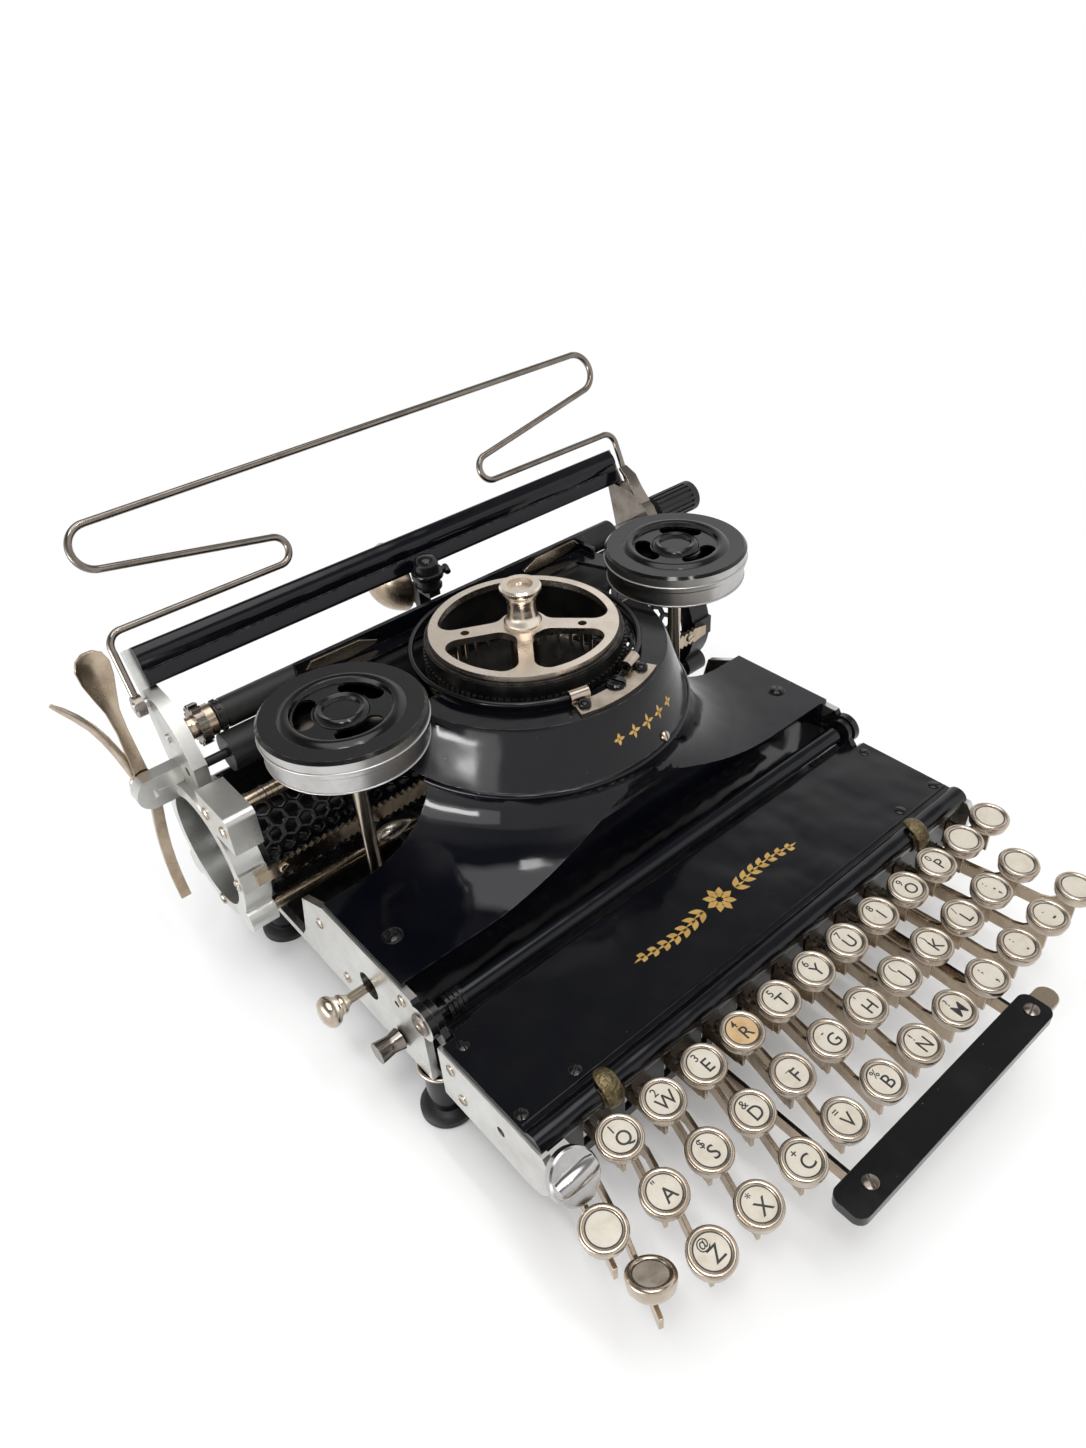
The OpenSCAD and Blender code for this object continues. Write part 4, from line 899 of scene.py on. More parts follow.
@dataclass
class Carriage:
    """Carriage: ends, basket, rails, rollers, paper table and levers."""

    platen: Point2 = (118.0, 116.0)
    basket: Point2 = (104.0, 67.0)
    basket_r: float = 27.0
    basket_half: float = 124.0
    hem: float = 3.0
    slot_half: float = 8.0
    cell: float = 7.0
    rib: float = 1.1
    table_foot: Point2 = (132.5, 132.0)
    table_tilt: float = 57.0
    table_half: float = 129.0
    table_w: float = 17.0
    ear: Point2 = (-145.0, 96.0)
    spoon_y: float = 123.6
    spoon: Sequence[Point2] = ((0.0, 0.0), (-0.5, 14.0), (-1.3, 28.0), (-2.0, 38.0), (-2.5, 46.0), (-2.8, 53.0),
                               (-3.0, 59.0), (-3.0, 63.0), (-3.0, 65.2))
    spoon_half: Sequence[float] = (3.2, 2.6, 2.3, 2.8, 4.6, 6.2, 6.6, 5.2, 2.2)
    spoon_hub: Sequence[Point2] = ((0.0, 0.0), (5.3, 0.0), (5.5, 0.3), (5.5, 1.5), (5.2, 1.9), (0.0, 1.9))
    handle_y: float = 126.9
    handle: Sequence[Point2] = ((-1.0, 2.0), (-3.0, 9.0), (-5.4, 18.0), (-7.8, 26.0), (-10.6, 33.0), (-14.6, 40.0),
                                (-18.0, 45.0), (-21.2, 49.2))
    handle_r: Sequence[float] = (2.6, 2.2, 1.9, 1.8, 1.7, 1.6, 1.4, 0.8)
    handle_hub: Sequence[Point2] = ((0.0, 0.0), (5.2, 0.0), (5.5, 0.4), (5.5, 1.6), (5.0, 2.0), (2.2, 2.4), (0.0, 2.4))
    scale: Point2 = (80.0, 100.0)
    scale_step: float = 2.54
    end_x: float = 136.0
    end_screws: Sequence[Point2] = ((72.0, 98.5), (87.0, 98.5), (104.0, 38.5), (76.0, 67.0))
    rail_screw: Point3 = (118.0, 69.9, 69.0)
    collars: Sequence[Sequence[Point2]] = (
        ((2.0, -117.2), (6.2, -117.2), (6.8, -116.7), (6.8, -113.3), (6.3, -112.8), (2.0, -112.8)),
        ((2.0, -124.8), (4.4, -124.8), (4.8, -124.2), (4.8, -121.0), (2.0, -121.0)))
    drum: Sequence[Point2] = ((2.0, -112.9), (5.6, -112.9), (6.2, -112.2), (6.2, -108.0), (2.0, -108.0))
    drum_tooth: Sequence[Point2] = ((-1.1, -0.9), (1.1, -0.9), (0.8, 0.9), (-0.8, 0.9))
    drum_teeth: int = 12
    bracket_x: float = 129.0
    bracket: Sequence[Point2] = ((113.0, 127.0), (118.0, 133.0), (123.0, 138.5), (129.0, 142.0))

    def build(self) -> None:
        """Add the carriage's own pieces."""
        self.build_basket()
        self.build_table()
        self.build_levers()
        self.build_fittings()

    def build_basket(self) -> None:
        """Wrap a sheet into the paper basket, a honeycomb in front and plain behind."""
        sheet = Maker()
        start = math.asin((self.slot_half + 0.5) / self.basket_r)
        length = self.basket_r * 2.0 * (math.pi - start)
        rows = int(length / (self.cell * math.sqrt(3.0) / 2.0))
        step = length / (rows + 1.0 / 3.0)
        edge = self.basket_half - self.hem
        columns = int(2.0 * edge / self.cell)
        pitch = 2.0 * edge / (columns + 0.5)

        def wrap(x: float, s: float) -> Vector:
            """Return a point of the flat sheet on the tube."""
            angle = math.pi / 2.0 + start + min(max(s, 0.0), length) / self.basket_r
            y, z = (self.basket_r * part(angle) for part in (math.cos, math.sin))
            return Vector((min(max(x, -edge), edge), self.basket[0] + y, self.basket[1] + z))

        for row in range(rows):
            for column in range(columns):
                x = (column + 0.5 + 0.5 * (row % 2)) * pitch - edge
                s = (row + 2.0 / 3.0) * step
                corners = [(math.sin(math.pi * k / 3.0), math.cos(math.pi * k / 3.0)) for k in range(6)]
                outer, inner = (
                    sheet.corners(wrap(x + r * cx * pitch / math.sqrt(3.0), s + r * cy * step * 2.0 / 3.0)
                                  for cx, cy in corners) for r in (1.0, 1.0 - 2.0 * self.rib / self.cell))
                if s > 0.55 * length:
                    sheet.face(outer)
                else:
                    sheet.bridge([outer, inner])
        bmesh.ops.remove_doubles(sheet.bm, verts=sheet.bm.verts, dist=0.02)
        loose = [v for v in sheet.bm.verts if not v.link_faces]
        bmesh.ops.delete(sheet.bm, geom=loose, context="VERTS")
        basket = sheet.build("basket_sheet", SATIN_JAPAN, Body.CARRIAGE, Slot.JAPAN)
        thick = basket.modifiers.new("thickness", "SOLIDIFY")
        thick.thickness, thick.offset = 1.1 * MM, -1.0
        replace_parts(basket, "paper_basket")
        hems = Maker()
        half, inside, outside = 1.7, self.basket_r - 1.2, self.basket_r + 0.1
        for side in SIDES:
            turned = spot(side * (self.basket_half - half), *self.basket) @ turn(90.0, "Y")
            hems.ring([(inside, -half), (outside, -half), (outside, half), (inside, half)], turned, 72)
        hems.build("basket_hems", DULL_JAPAN, Body.CARRIAGE, Slot.JAPAN)

    def build_table(self) -> None:
        """Fold the sheet of the paper table, with a bulge above its crease."""
        tilt = math.radians(self.table_tilt)
        place = Matrix(((0, 0, 1, 0), (math.cos(tilt), -math.sin(tilt), 0, self.table_foot[0]),
                        (math.sin(tilt), math.cos(tilt), 0, self.table_foot[1]), (0, 0, 0, 1)))
        w = self.table_w
        bulge = [(6.9 + (w - 7.4) * k / 10, 2.5 + 1.9 * math.sin(math.pi * k / 10)) for k in range(11)]
        outline = [(w - 0.4, 0.2), (0.5, 0.0), *arc((1.3, 1.5), 1.3, 250.0, 110.0, 6), (1.2, 2.8), (6.0, 2.9),
                   (6.4, 2.3), (6.7, 2.3), *bulge, (w, 1.6), (w, 0.6)]
        table = Maker().prism(outline[::-1], -self.table_half, self.table_half, place)
        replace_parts(table.build("table_sheet", JAPAN, Body.CARRIAGE, Slot.JAPAN, smooth=35.0), "paper_table")

    def build_levers(self) -> None:
        """Shape the spoon and the curved lever on the left ear."""
        x, z = self.ear
        flat = turn(-90.0, "X")
        path = [Vector((x + dx, self.spoon_y, z + dz)) for dx, dz in self.spoon]
        spoon = Maker().strip(path, self.spoon_half, ACROSS, 1.5, -1.4)
        spoon.lathe(self.spoon_hub, spot(x, self.spoon_y - 0.2, z) @ flat, 36)
        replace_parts(spoon.build("release_spoon", LEVER_NICKEL, Body.RELEASE_LEVER, Slot.NICKEL, 0.3), "release_lever")
        path = [Vector((x + dx, self.handle_y, z + dz)) for dx, dz in self.handle]
        lever = Maker().tube(path, self.handle_r, 14, 0.5)
        lever.lathe(self.handle_hub, spot(x, self.handle_y - 1.0, z) @ flat, 36)
        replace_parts(lever.build("line_handle", NICKEL, Body.LINE_LEVER, Slot.NICKEL), "line_lever")

    def build_fittings(self) -> None:
        """Add scale marks, screws, the platen's collars and drum, and the bracket at the right."""
        marks = Maker()
        along = turn(90.0, "Y")
        for k in range(-46, 47):
            deep = 0.1 if k % 5 else 0.22
            marks.ring([(2.8, -deep), (3.04, -deep), (3.04, deep), (2.8, deep)],
                       spot(self.scale_step * k, *self.scale) @ along, 20)
        marks.build("scale_marks", INK_AND_SHADE, Body.CARRIAGE, Slot.STEEL)
        screws = Maker().side_screws(self.end_x, self.end_screws, 2.6, 0.9, (20.0, 40.0))
        x, y, z = self.rail_screw
        for side in SIDES:
            screws.screw(spot(side * x, y, z) @ turn(90.0, "X"), 2.2, 0.8, 30.0)
        screws.build("carriage_screws", NICKEL, Body.CARRIAGE, Slot.NICKEL)
        at = spot(0.0, *self.platen) @ along
        collars = Maker()
        for profile, steps in zip(self.collars, (48, 32)):
            collars.lathe(profile, at, steps)
        collars.build("platen_collars", LEVER_NICKEL, Body.PLATEN, Slot.NICKEL)
        drum = Maker().lathe(self.drum, at)
        for k in range(self.drum_teeth):
            tooth = at @ turn(360.0 / self.drum_teeth * k, "Z") @ spot(6.0, 0.0, -110.4) @ along
            drum.prism(self.drum_tooth, -0.4, 0.9, tooth)
        drum.build("platen_drum", DULL_JAPAN, Body.PLATEN, Slot.JAPAN)
        path = [Vector((self.bracket_x, y, z)) for y, z in self.bracket]
        bracket = Maker().strip(path, [3.6, 3.0, 3.4, 2.4], ACROSS, 1.6, cells=4)
        bracket.build("table_bracket", DARK_STEEL, Body.CARRIAGE, Slot.NICKEL, 0.3)

    def dress(self) -> None:
        """Finish the nodes of the carriage."""
        paint("carriage_ends", ALUMINIUM, [(lambda p, n: p.x > 0.0 and p.z < 92.0, DULL_JAPAN),
                                           (lambda p, n: p.x > 0.0, DARK_STEEL),
                                           (lambda p, n: p.x < -138.5 and p.z < 88.0, LEVER_NICKEL)], bevel=0.6)
        paint("carriage_rails", LEVER_NICKEL, bevel=0.1)
        paint("platen", RUBBER, [(lambda p, n: -122.0 < p.x < -116.0, DARK_STEEL), (self.is_axle, POLISHED_STEEL)],
              bevel=0.2)
        paint("feed_roller", RUBBER, bevel=0.2)
        paint("paper_support", DARK_STEEL)

    def is_axle(self, middle: Vector, normal: Vector) -> bool:
        """Return whether a face of the platen is on its steel axle."""
        return math.hypot(middle.y - self.platen[0], middle.z - self.platen[1]) < 2.2


@dataclass
class Key:
    """A key, or a pair of keys on one body.

    Attributes:
        node: Name of its node and body.
        row: Its row from the back.
        routes: Routes of its levers, from the fulcrum to the cup.
        places: Places of its cups, with Z along them.
        letter: Its letter, if it has one.
        sign: The sign above the letter.
    """

    node: str
    row: int
    routes: list[list[Point2]]
    places: list[Matrix]
    letter: str = ""
    sign: str = ""


@dataclass
class Keyboard:
    """Keyboard half: frame, cover, keys and space bar."""

    letters: Sequence[str] = ("qwertyuiop", "asdfghjkl;", "zxcvbnm,.-")
    signs: Sequence[str] = ("1234567890", "\"$&_-'()/:", "@*+=%!?;:.")
    first_key: Point2 = (-98.0, -102.0)
    key_pitch: float = 19.05
    row_shift: float = 0.8
    row_spread: float = 0.95
    row_pitch: float = 20.0
    face_z: Sequence[float] = (63.0, 58.0, 53.0)
    key_r: float = 7.75
    cup_h: float = 7.0
    stem_h: float = 6.0
    disc_sunk: float = 0.66
    key_tilt: float = 4.0
    rod_y: float = -40.0
    root_x: float = -96.0
    root_step: float = 6.2
    blade: Point2 = (1.6, 6.0)
    tail: float = 8.5
    comb_y: float = -84.75
    cover_z: float = 60.0
    bead_at: Point2 = (117.5, -78.0)
    ornament_y: float = -56.0
    space_y: float = -158.5
    plate_x: float = 119.5
    plate_screws: Sequence[Point2] = ((-41.0, 52.0), (-46.0, 40.0))
    lip: Point2 = (-84.0, 57.4)
    pad_xs: Point2 = (-88.0, 84.0)
    pad_half: Sequence[float] = (1.4, 2.5, 3.1, 3.4, 3.5, 3.5, 3.5, 3.5, 3.5, 3.4, 3.1, 2.5, 1.4)
    latch: Point3 = (-116.0, -99.0, 57.0)
    latch_disc: Sequence[Point2] = ((0.0, -12.0), (3.0, -12.0), (3.0, 0.0), (8.6, 0.0), (9.0, 0.4), (9.0, 3.4),
                                    (8.4, 4.0), (0.0, 4.2))
    latch_grip: Sequence[Point2] = ((-8.3, 1.6), (-7.6, 2.9), (-5.0, 3.6), (0.0, 3.8), (5.0, 3.6), (7.6, 2.9),
                                    (8.3, 1.6))
    cover_screws: Sequence[Point2] = ((-91.4, -74.2), (-115.0, -74.6), (-113.0, -41.0), (91.4, -74.2), (115.0, -74.6),
                                      (113.0, -41.0))
    names: dict[str, str] = field(default_factory=lambda: {
        ";": "semicolon", ",": "comma", ".": "period", "-": "hyphen"})

    def key_spot(self, row: int, index: int) -> Point2:
        """Return where a key stands, given its row from the back and its place from the left."""
        x, y = self.first_key
        return x - self.row_shift * row + index * (self.key_pitch + self.row_spread * row), y - self.row_pitch * row

    def key_place(self, row: int, index: int) -> Matrix:
        """Return the place of a key's cup, given its row from the back and its place from the left."""
        return spot(*self.key_spot(row, index), self.face_z[row] - self.cup_h) @ turn(self.key_tilt, "X")

    def route(self, row: int, index: int) -> list[Point2]:
        """Route a key's lever past the keys of the rows behind it.

        Args:
            row: Row from the back.
            index: Key from the left.

        Returns:
            Points from the fulcrum to the key.
        """
        points = [(self.root_x + self.root_step * (3 * index + row), self.rod_y)]
        for k in range(row):
            x, y = self.key_spot(k, index)
            points.append((x + self.root_step * (row - k) * (1.1 if k else 1.0), y))
        return [*points, self.key_spot(row, index)]

    def keys(self) -> list[Key]:
        """List the keys."""
        found = []
        for row, letters in enumerate(self.letters):
            for index, letter in enumerate(letters):
                found.append(Key(f"key_{self.names.get(letter, letter)}", row, [self.route(row, index)],
                                 [self.key_place(row, index)], letter.upper(), self.signs[row][index]))
        for node, index in (("backspace_key", 10), ("margin_key", 11)):
            found.append(Key(node, 0, [self.route(0, index)], [self.key_place(0, index)]))
        figure = [(-108.4, self.rod_y), (-111.0, -92.0), (-119.0, -116.7)]
        figure_cup = spot(-119.0, -116.7, 48.0) @ turn(self.key_tilt, "X")
        capital = [(-102.2, self.rod_y), (-104.5, -98.0), (-110.0, -116.7), (-117.0, -134.3)]
        capital_cup = spot(-117.7, -135.9, 43.0) @ turn(-38.0, "Z") @ turn(-25.0, "X")
        for node, row, route, cup in (("figure_shift_keys", 1, figure, figure_cup),
                                      ("capital_shift_keys", 2, capital, capital_cup)):
            found.append(Key(node, row, [self.route(row, 10), route], [self.key_place(row, 10), cup]))
        return found

    def build(self) -> None:
        """Add the keyboard's own pieces."""
        aged = {"key_r": YELLOWED, "capital_shift_keys": GREYED}
        for key in self.keys():
            self.build_levers(key)
            self.build_cups(key, aged.get(key.node, CELLULOID))
        self.build_space_bar()
        self.build_cover()
        self.build_latch()

    def build_levers(self, key: Key) -> None:
        """Add a key's levers, each with its eye and stem, in place of the node.

        Args:
            key: The key.
        """
        maker = Maker()
        thick, high = self.blade
        low = self.face_z[key.row] - self.cup_h - self.stem_h - high
        middle = low + high / 2.0
        for route, place in zip(key.routes, key.places):
            points = [Vector(point) for point in route]
            ways = [(b - a).normalized() for a, b in zip(points, points[1:])]
            points[0] = points[0] + 2.2 * ways[0]
            if route[0][0] < self.root_x:
                points[-1] = points[-1] + self.tail * ways[-1]
            means = [ways[0], *((a + b) / 2.0 for a, b in zip(ways, ways[1:])), ways[-1]]
            sides = [Vector((-way.y, way.x)) * thick / 2.0 for way in means]
            outline = [p + s for p, s in zip(points, sides)] + [p - s for p, s in zip(points, sides)][::-1]
            maker.prism([(point.x, point.y) for point in outline], low, low + high, Matrix.Identity(4))
            maker.ring([(1.7, -0.8), (3.1, -0.8), (3.1, 0.8), (1.7, 0.8)],
                       spot(route[0][0], self.rod_y, middle) @ turn(90.0, "Y"), 28)
            x, y = ways[-1]
            upright = Matrix(((x, 0, y, route[-1][0]), (y, 0, -x, route[-1][1]), (0, 1, 0, 0), (0, 0, 0, 1)))
            top = place.translation.z + 1.0
            maker.prism([(-12.0, low + 0.5), (2.4, low + 0.5), (2.4, top), (-2.4, top), (-4.0, top - 2.6),
                         (-7.5, low + high + 1.2), (-12.0, low + high - 0.2)], -0.72, 0.72, upright)
        if len(key.routes) > 1:
            ends = [Vector((route[0][0], self.rod_y + 6.5, middle)) for route in key.routes]
            maker.tube(ends, 1.5, 16)
            for end in ends:
                maker.tube([end, end - Vector((0.0, 4.2, 0.0))], 0.8, 12)
        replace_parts(maker.build(f"lever_{key.node}", LEVER_NICKEL, key.node, Slot.NICKEL, 0.25), key.node)

    def build_cups(self, key: Key, aged: Finish) -> None:
        """Add a key's cups with their rolled rims, their discs, their printed letters and a thin ring of painted shade
        inside each rim.

        Args:
            key: The key.
            aged: Finish of its last disc.
        """
        r = self.key_r
        rolled = arc((r - 1.0, 5.85), 1.15, -15.0, 195.0, 14)
        profile = [(0.0, 0.0), (0.5 * r, 0.0), (0.8 * r, 1.0), (0.95 * r, 2.6), (r, 4.4), *rolled, (r - 2.0, 5.4),
                   (0.0, 5.4)]
        level = self.cup_h - self.disc_sunk
        top_disc = [(0.0, 5.45), (r - 1.8, 5.45), (r - 1.8, level - 0.06), (0.5 * r, level), (0.0, level)]
        cup, legend_and_shade = Maker(), Maker()
        for k, place in enumerate(key.places):
            cup.lathe(profile, place, 56)
            name = f"disc_{key.node}" if k == 0 else f"disc_left_{key.node}"
            disc = Maker().lathe(top_disc, place)
            disc.build(name, aged if k == len(key.places) - 1 else CELLULOID, key.node, Slot.NICKEL)
            top = place @ spot(0.0, 0.0, level)
            # Thin ring of ink just inside the rolled rim: painted shade for the shadow line under the rim's bead.
            legend_and_shade.ring([(r - 2.35, -0.1), (r - 1.85, -0.1), (r - 1.85, 0.04), (r - 2.35, 0.03)], top, 48)
            if key.letter:
                legend_and_shade.words(key.letter, 6.9, top @ spot(0.5, -1.45, 0.0), 0.05)
                legend_and_shade.words(key.sign, 4.2, top @ spot(-0.8, 3.1, 0.0), 0.04)
        cup.build(f"cup_{key.node}", NICKEL, key.node, Slot.NICKEL)
        # This piece carries the printed letters and the ring of painted shade.
        legend_and_shade.build(f"legend_{key.node}", INK_AND_SHADE, key.node, Slot.RUBBER)

    def build_latch(self) -> None:
        """Shape the latch knob: a disc on a shaft, with a rounded grip across it."""
        place = spot(*self.latch) @ turn(50.0, "X")
        knob = Maker().lathe(self.latch_disc, place)
        knob.tube([place @ Vector((x, 0.0, 3.4)) for x, r in self.latch_grip], [r for x, r in self.latch_grip], 28)
        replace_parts(knob.build("latch_grip", BRIGHT_STEEL, Body.LATCH, Slot.ALUMINIUM), "latch_knob")

    def build_space_bar(self) -> None:
        """Add the space bar's screws and its tab."""
        screws = Maker()
        for x, slot_turn in ((-44.1, 60.0), (51.2, 15.0)):
            screws.screw(spot(x, self.space_y, 44.0), 2.8, 0.7, slot_turn)
        screws.build("space_bar_screws", DARK_STEEL, Body.SPACE_BAR, Slot.STEEL)
        tab = Maker().prism([(54.0, -4.5), *arc((62.0, 0.0), 4.5, -90.0, 90.0, 12), (54.0, 4.5)], 40.1, 42.4,
                            spot(0.0, self.space_y, 0.0))
        tab.build("space_bar_tab", LEVER_NICKEL, Body.SPACE_BAR, Slot.NICKEL, 0.4)

    def build_cover(self) -> None:
        """Add the cover's bead, the screws, the pads and the gilt ornament."""
        x, y = self.bead_at
        edge = Maker().tube([Vector((side * x, y, self.cover_z)) for side in SIDES], 0.6, 10)
        edge.build("cover_bead", JAPAN, Body.KEYBOARD, Slot.JAPAN)
        screws = Maker()
        for k, (x, y) in enumerate(self.cover_screws):
            screws.screw(spot(x, y, self.cover_z), 2.3, 0.5, 30.0 + 25.0 * k)
        screws.build("cover_screws", SATIN_JAPAN, Body.KEYBOARD, Slot.JAPAN)
        plates = Maker().side_screws(self.plate_x, self.plate_screws, 2.3, 0.6, (40.0, 50.0))
        plates.build("front_plate_screws", NICKEL, Body.KEYBOARD, Slot.NICKEL)
        pad = Maker()
        for x in self.pad_xs:
            path = [Vector((x, y, z)) for y, z in arc(self.lip, 5.9, 60.0, 210.0)]
            pad.strip(path, self.pad_half, ACROSS, 1.2, -0.9)
        pad.build("lip_pads", BRAID, Body.KEYBOARD, Slot.NICKEL, 0.3)
        ornament = Maker()
        middle = spot(0.0, self.ornament_y, self.cover_z)
        for k in range(8):
            ornament.leaf(middle @ turn(45.0 * k, "Z") @ spot(1.2, 0.0, 0.0), 5.4, 1.5)
        for side in (0.0, 180.0):
            for k in range(7):
                at = middle @ turn(side, "Z") @ spot(9.0 + 5.2 * k, 1.6 * math.sin(0.55 * k), 0.0)
                for lean in (-38.0, 38.0):
                    ornament.leaf(at @ turn(lean, "Z"), 6.0 - 0.45 * k, 1.25)
                ornament.leaf(at, 5.6, 0.5)
        ornament.build("cover_ornament", GILT, Body.KEYBOARD, Slot.JAPAN)

    def dress(self) -> None:
        """Finish the nodes of the keyboard."""
        paint("keyboard_frame", ALUMINIUM, [(self.is_comb, DULL_JAPAN), (self.is_rod, LEVER_NICKEL),
                                            (self.is_fork, SATIN_JAPAN)])
        paint("front_cover", HOOD_JAPAN, [(self.is_tab, BRAID)], bevel=0.5)
        paint("space_bar", SATIN_JAPAN, [(lambda p, n: p.z < 39.99, LEVER_NICKEL)], bevel=0.5)

    def is_comb(self, middle: Vector, normal: Vector) -> bool:
        """Return whether a face of the frame is on the lever comb."""
        return abs(middle.y - self.comb_y) < 1.6 and abs(middle.x) < 116.0 and middle.z < 53.0

    def is_fork(self, middle: Vector, normal: Vector) -> bool:
        """Return whether a face of the frame is on a fork at the hinge."""
        return middle.y > -47.0 and abs(middle.x) < 116.3 and middle.z > 45.0

    def is_rod(self, middle: Vector, normal: Vector) -> bool:
        """Return whether a face of the frame is on a fulcrum rod."""
        return abs(middle.y - self.rod_y) < 2.0 and abs(middle.x) < 112.0

    def is_tab(self, middle: Vector, normal: Vector) -> bool:
        """Return whether a face of the cover is on one of the tabs along its lip."""
        y, z = self.lip
        near = any(abs(middle.x - x) < 4.3 for x in self.pad_xs)
        return near and math.hypot(middle.y - y, middle.z - z) > 4.61 and middle.z < 61.9 and middle.y < -83.0


@dataclass
class Stage:
    """Floor, light and camera."""

    camera_at: Point3 = (-219.5, -235.9, 360.0)
    azimuth: float = 37.9
    elevation: float = 37.04
    roll: float = -4.43
    focal_px: float = 1041.2
    long_side_px: float = 1448.0
    floor_reach: float = 18.0
    wall_rise: float = 0.4
    wall_sides: int = 48
    white_from: Point2 = (0.08, 0.5)
    sky_strength: float = 2.8
    dark_side: Point3 = (1.0, -0.5, 0.0)
    side_reach: float = 1.2
    band: Sequence[Point2] = ((0.0, 0.27), (37.0, 0.27), (46.0, 0.08), (57.0, 0.08), (64.0, 0.0))
    around: Sequence[Point2] = ((-1.2, 0.8), (-0.5, 0.5), (-0.1, 0.6), (0.05, 0.8), (0.4, 1.5), (1.2, 1.5))
    cap: Sequence[Point2] = ((0.0, 0.0), (61.0, 0.0), (69.0, 1.0), (90.0, 1.0))

    def build(self) -> None:
        """Set the whole stage."""
        self.floor()
        self.world()
        self.lamps()
        self.camera()
        bpy.context.scene.view_settings.view_transform = "Standard"

    def floor(self) -> None:
        """Lay a pale floor with a backdrop, which shows shadows near the machine and plain white far from it."""
        mesh = bpy.data.meshes.new("floor")
        count, reach = self.wall_sides, self.floor_reach
        corners = [(x, y, z) for z in (0.0, self.wall_rise * reach) for x, y in circle(reach, count)]
        walls = [(k, k + count, (k + 1) % count + count, (k + 1) % count) for k in range(count)]
        mesh.from_pydata(corners, [], [tuple(range(count)), *walls])
        floor = bpy.data.objects.new("floor", mesh)
        bpy.context.scene.collection.objects.link(floor)
        graph = Graph("pale_floor")
        tone = graph.mix(graph.noise(3.0), (0.975, 0.975, 0.975), (0.965, 0.965, 0.965))
        graph.feed(graph.shader.inputs["Base Color"], tone)
        graph.shader.inputs["Roughness"].default_value = 0.85
        graph.shader.inputs["Specular IOR Level"].default_value = 0.1
        away = graph.add("ShaderNodeVectorMath", operation="LENGTH")
        graph.feed(away.inputs[0], graph.place)
        seen = graph.add("ShaderNodeLightPath").outputs
        shown = graph.calc("MAXIMUM", seen["Is Camera Ray"], seen["Is Glossy Ray"])
        shown = graph.calc("MAXIMUM", shown, seen["Is Transmission Ray"])
        blend = graph.add("ShaderNodeMixShader")
        graph.feed(blend.inputs[0], graph.calc("MULTIPLY", shown, graph.band(away.outputs["Value"], *self.white_from)))
        graph.feed(blend.inputs[1], graph.shader.outputs[0])
        glow = graph.add("ShaderNodeEmission")
        glow.inputs["Strength"].default_value = 1.0
        graph.feed(blend.inputs[2], glow.outputs[0])
        graph.feed(graph.tree.nodes["Material Output"].inputs["Surface"], blend.outputs[0])
        mesh.materials.append(graph.material)

    def world(self) -> None:
        """Light from a bright cap overhead, and from a dim band below it that is darkest behind the machine."""
        world = bpy.data.worlds.new("studio")
        bpy.context.scene.world = world
        world.use_nodes = True
        tree = world.node_tree
        back = tree.nodes["Background"]
        place = tree.nodes.new("ShaderNodeTexCoord")
        split = tree.nodes.new("ShaderNodeSeparateXYZ")
        tree.links.new(place.outputs["Generated"], split.inputs[0])
        aside = tree.nodes.new("ShaderNodeVectorMath")
        aside.operation = "DOT_PRODUCT"
        aside.inputs[1].default_value = self.dark_side
        tree.links.new(place.outputs["Generated"], aside.inputs[0])
        band = self.ramp(tree, split.outputs["Z"], [(math.sin(math.radians(e)), v) for e, v in self.band])
        side = tree.nodes.new("ShaderNodeMapRange")
        reach = self.side_reach
        side.inputs["From Min"].default_value = -reach
        side.inputs["From Max"].default_value = reach
        tree.links.new(aside.outputs["Value"], side.inputs["Value"])
        around = self.ramp(tree, side.outputs["Result"], [((w + reach) / (2.0 * reach), v) for w, v in self.around])
        cap = self.ramp(tree, split.outputs["Z"], [(math.sin(math.radians(e)), v) for e, v in self.cap])
        total = tree.nodes.new("ShaderNodeMath")
        total.operation = "MULTIPLY_ADD"
        for socket, value in zip(total.inputs, (band, around, cap)):
            tree.links.new(value, socket)
        tree.links.new(total.outputs[0], back.inputs["Color"])
        back.inputs["Strength"].default_value = self.sky_strength

    def ramp(self, tree: bpy.types.NodeTree, value: bpy.types.NodeSocket,
             stops: Sequence[Point2]) -> bpy.types.NodeSocket:
        """Map a value from 0 to 1 onto grey levels.

        Args:
            tree: The node tree.
            value: The value.
            stops: Places on the ramp with their levels.

        Returns:
            The level.
        """
        node = tree.nodes.new("ShaderNodeValToRGB")
        tree.links.new(value, node.inputs["Fac"])
        elements = node.color_ramp.elements
        while len(elements) < len(stops):
            elements.new(1.0)
        for element, (position, level) in zip(elements, stops):
            element.position = position
            element.color = (level, level, level, 1.0)
        return node.outputs["Color"]

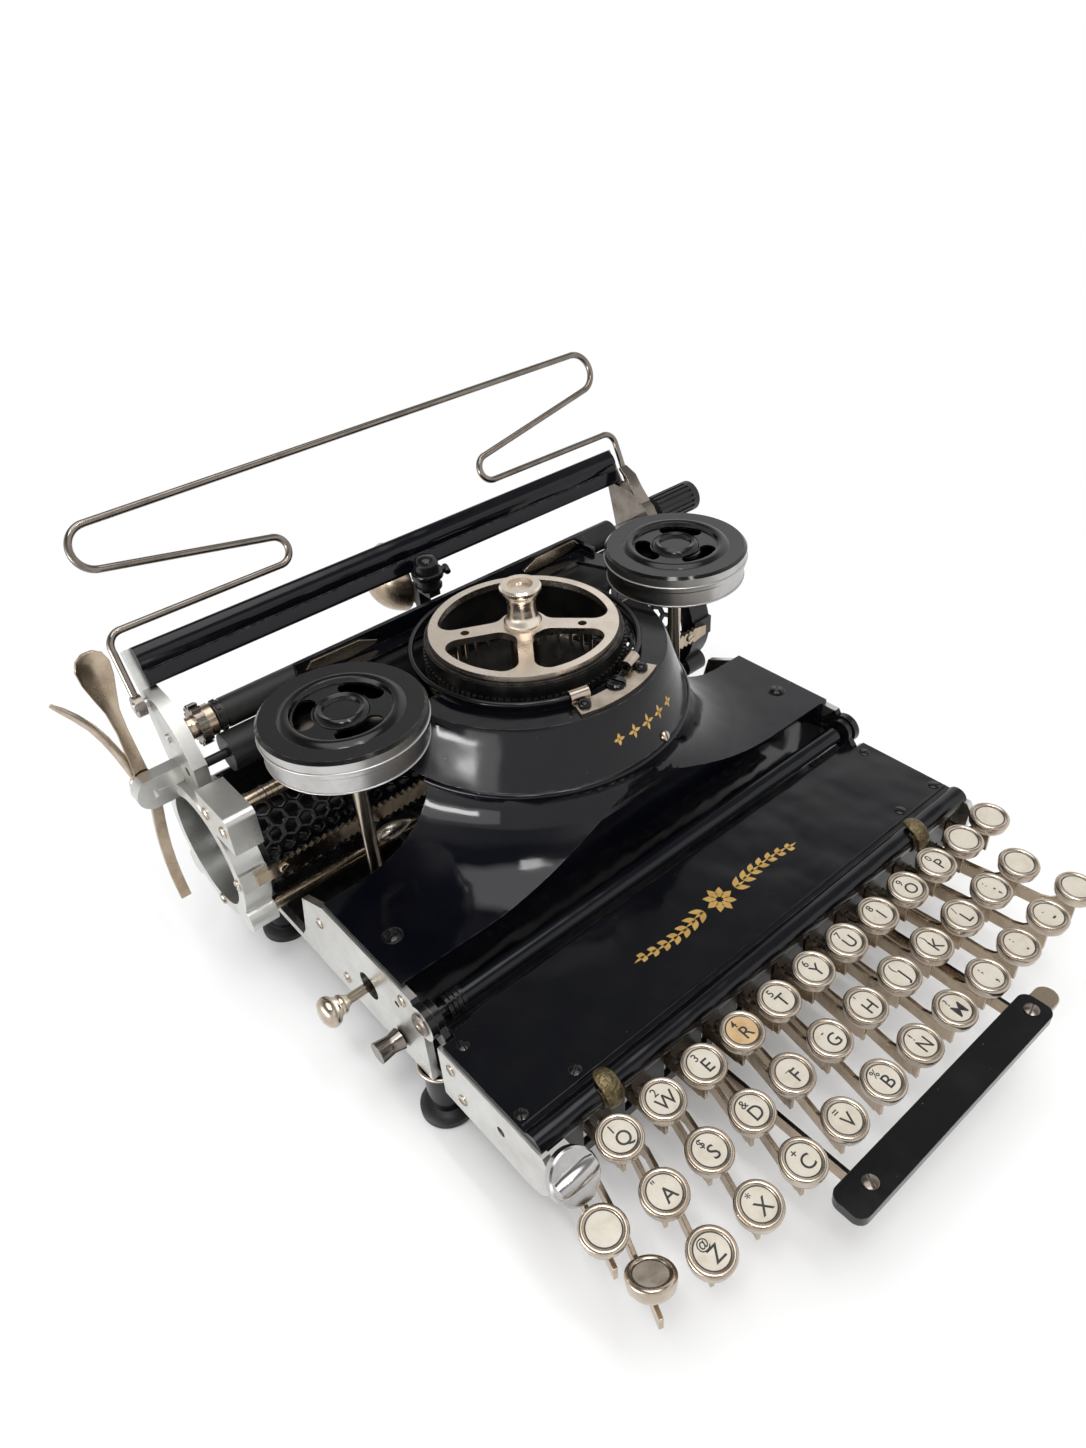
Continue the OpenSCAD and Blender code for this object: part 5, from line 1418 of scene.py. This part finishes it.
    def lamps(self) -> None:
        """Hang the soft lamps: two low at the left, one above the left shoulder and a narrow one above the front."""
        self.lamp("low_left_strip", (-0.75, 0.05, 0.10), (0.0, 0.03, 0.11), (0.42, 0.08), 2.2)
        self.lamp("low_left_glow", (-0.80, 0.05, 0.14), (0.0, 0.03, 0.11), (0.9, 0.34), 2.0)
        self.lamp("high_left_softbox", (-0.41, -0.35, 1.15), (-0.03, 0.0, 0.08), (0.2, 0.2), 1.8)
        self.lamp("high_front_strip", (-0.03, -0.42, 1.1), (0.0, 0.0, 0.08), (0.04, 0.5), 1.5)

    def lamp(self, name: str, at: Point3, aim: Point3, size: Point2, watts: float) -> None:
        """Hang one soft lamp.

        Args:
            name: Name of the lamp.
            at: Where it hangs, in metres.
            aim: Where it points.
            size: Width and height of its face.
            watts: Its power.
        """
        data = bpy.data.lights.new(name, "AREA")
        data.shape = "RECTANGLE"
        data.size, data.size_y = size
        data.energy = watts
        lamp = bpy.data.objects.new(name, data)
        lamp.location = at
        lamp.rotation_euler = (Vector(aim) - Vector(at)).to_track_quat("-Z", "Y").to_euler()
        bpy.context.scene.collection.objects.link(lamp)

    def camera(self) -> None:
        """Set the camera where the photograph was taken from."""
        az, el, roll = (math.radians(a) for a in (self.azimuth, self.elevation, self.roll))
        ahead = Vector((math.sin(az) * math.cos(el), math.cos(az) * math.cos(el), -math.sin(el)))
        right = Vector((math.cos(az), -math.sin(az), 0.0))
        up = right.cross(ahead)
        rolled_right = math.cos(roll) * right + math.sin(roll) * up
        rolled_up = -math.sin(roll) * right + math.cos(roll) * up
        data = bpy.data.cameras.new("camera")
        data.sensor_width = 36.0
        data.lens = self.focal_px / self.long_side_px * data.sensor_width
        data.clip_start, data.clip_end = 0.01, 2.0 * self.floor_reach
        camera = bpy.data.objects.new("camera", data)
        rotation = Matrix((rolled_right, rolled_up, -ahead)).transposed().to_4x4()
        camera.matrix_world = Matrix.Translation(Vector(self.camera_at) * MM) @ rotation
        bpy.context.scene.collection.objects.link(camera)
        bpy.context.scene.camera = camera


def main() -> None:
    """Build the stage and dress every sub-assembly."""
    logging.basicConfig(level=logging.INFO, format="%(message)s")
    Stage().build()
    for part in (Base(), Turret(), Carriage(), Keyboard()):
        part.build()
        part.dress()


if __name__ == "__main__":
    main()
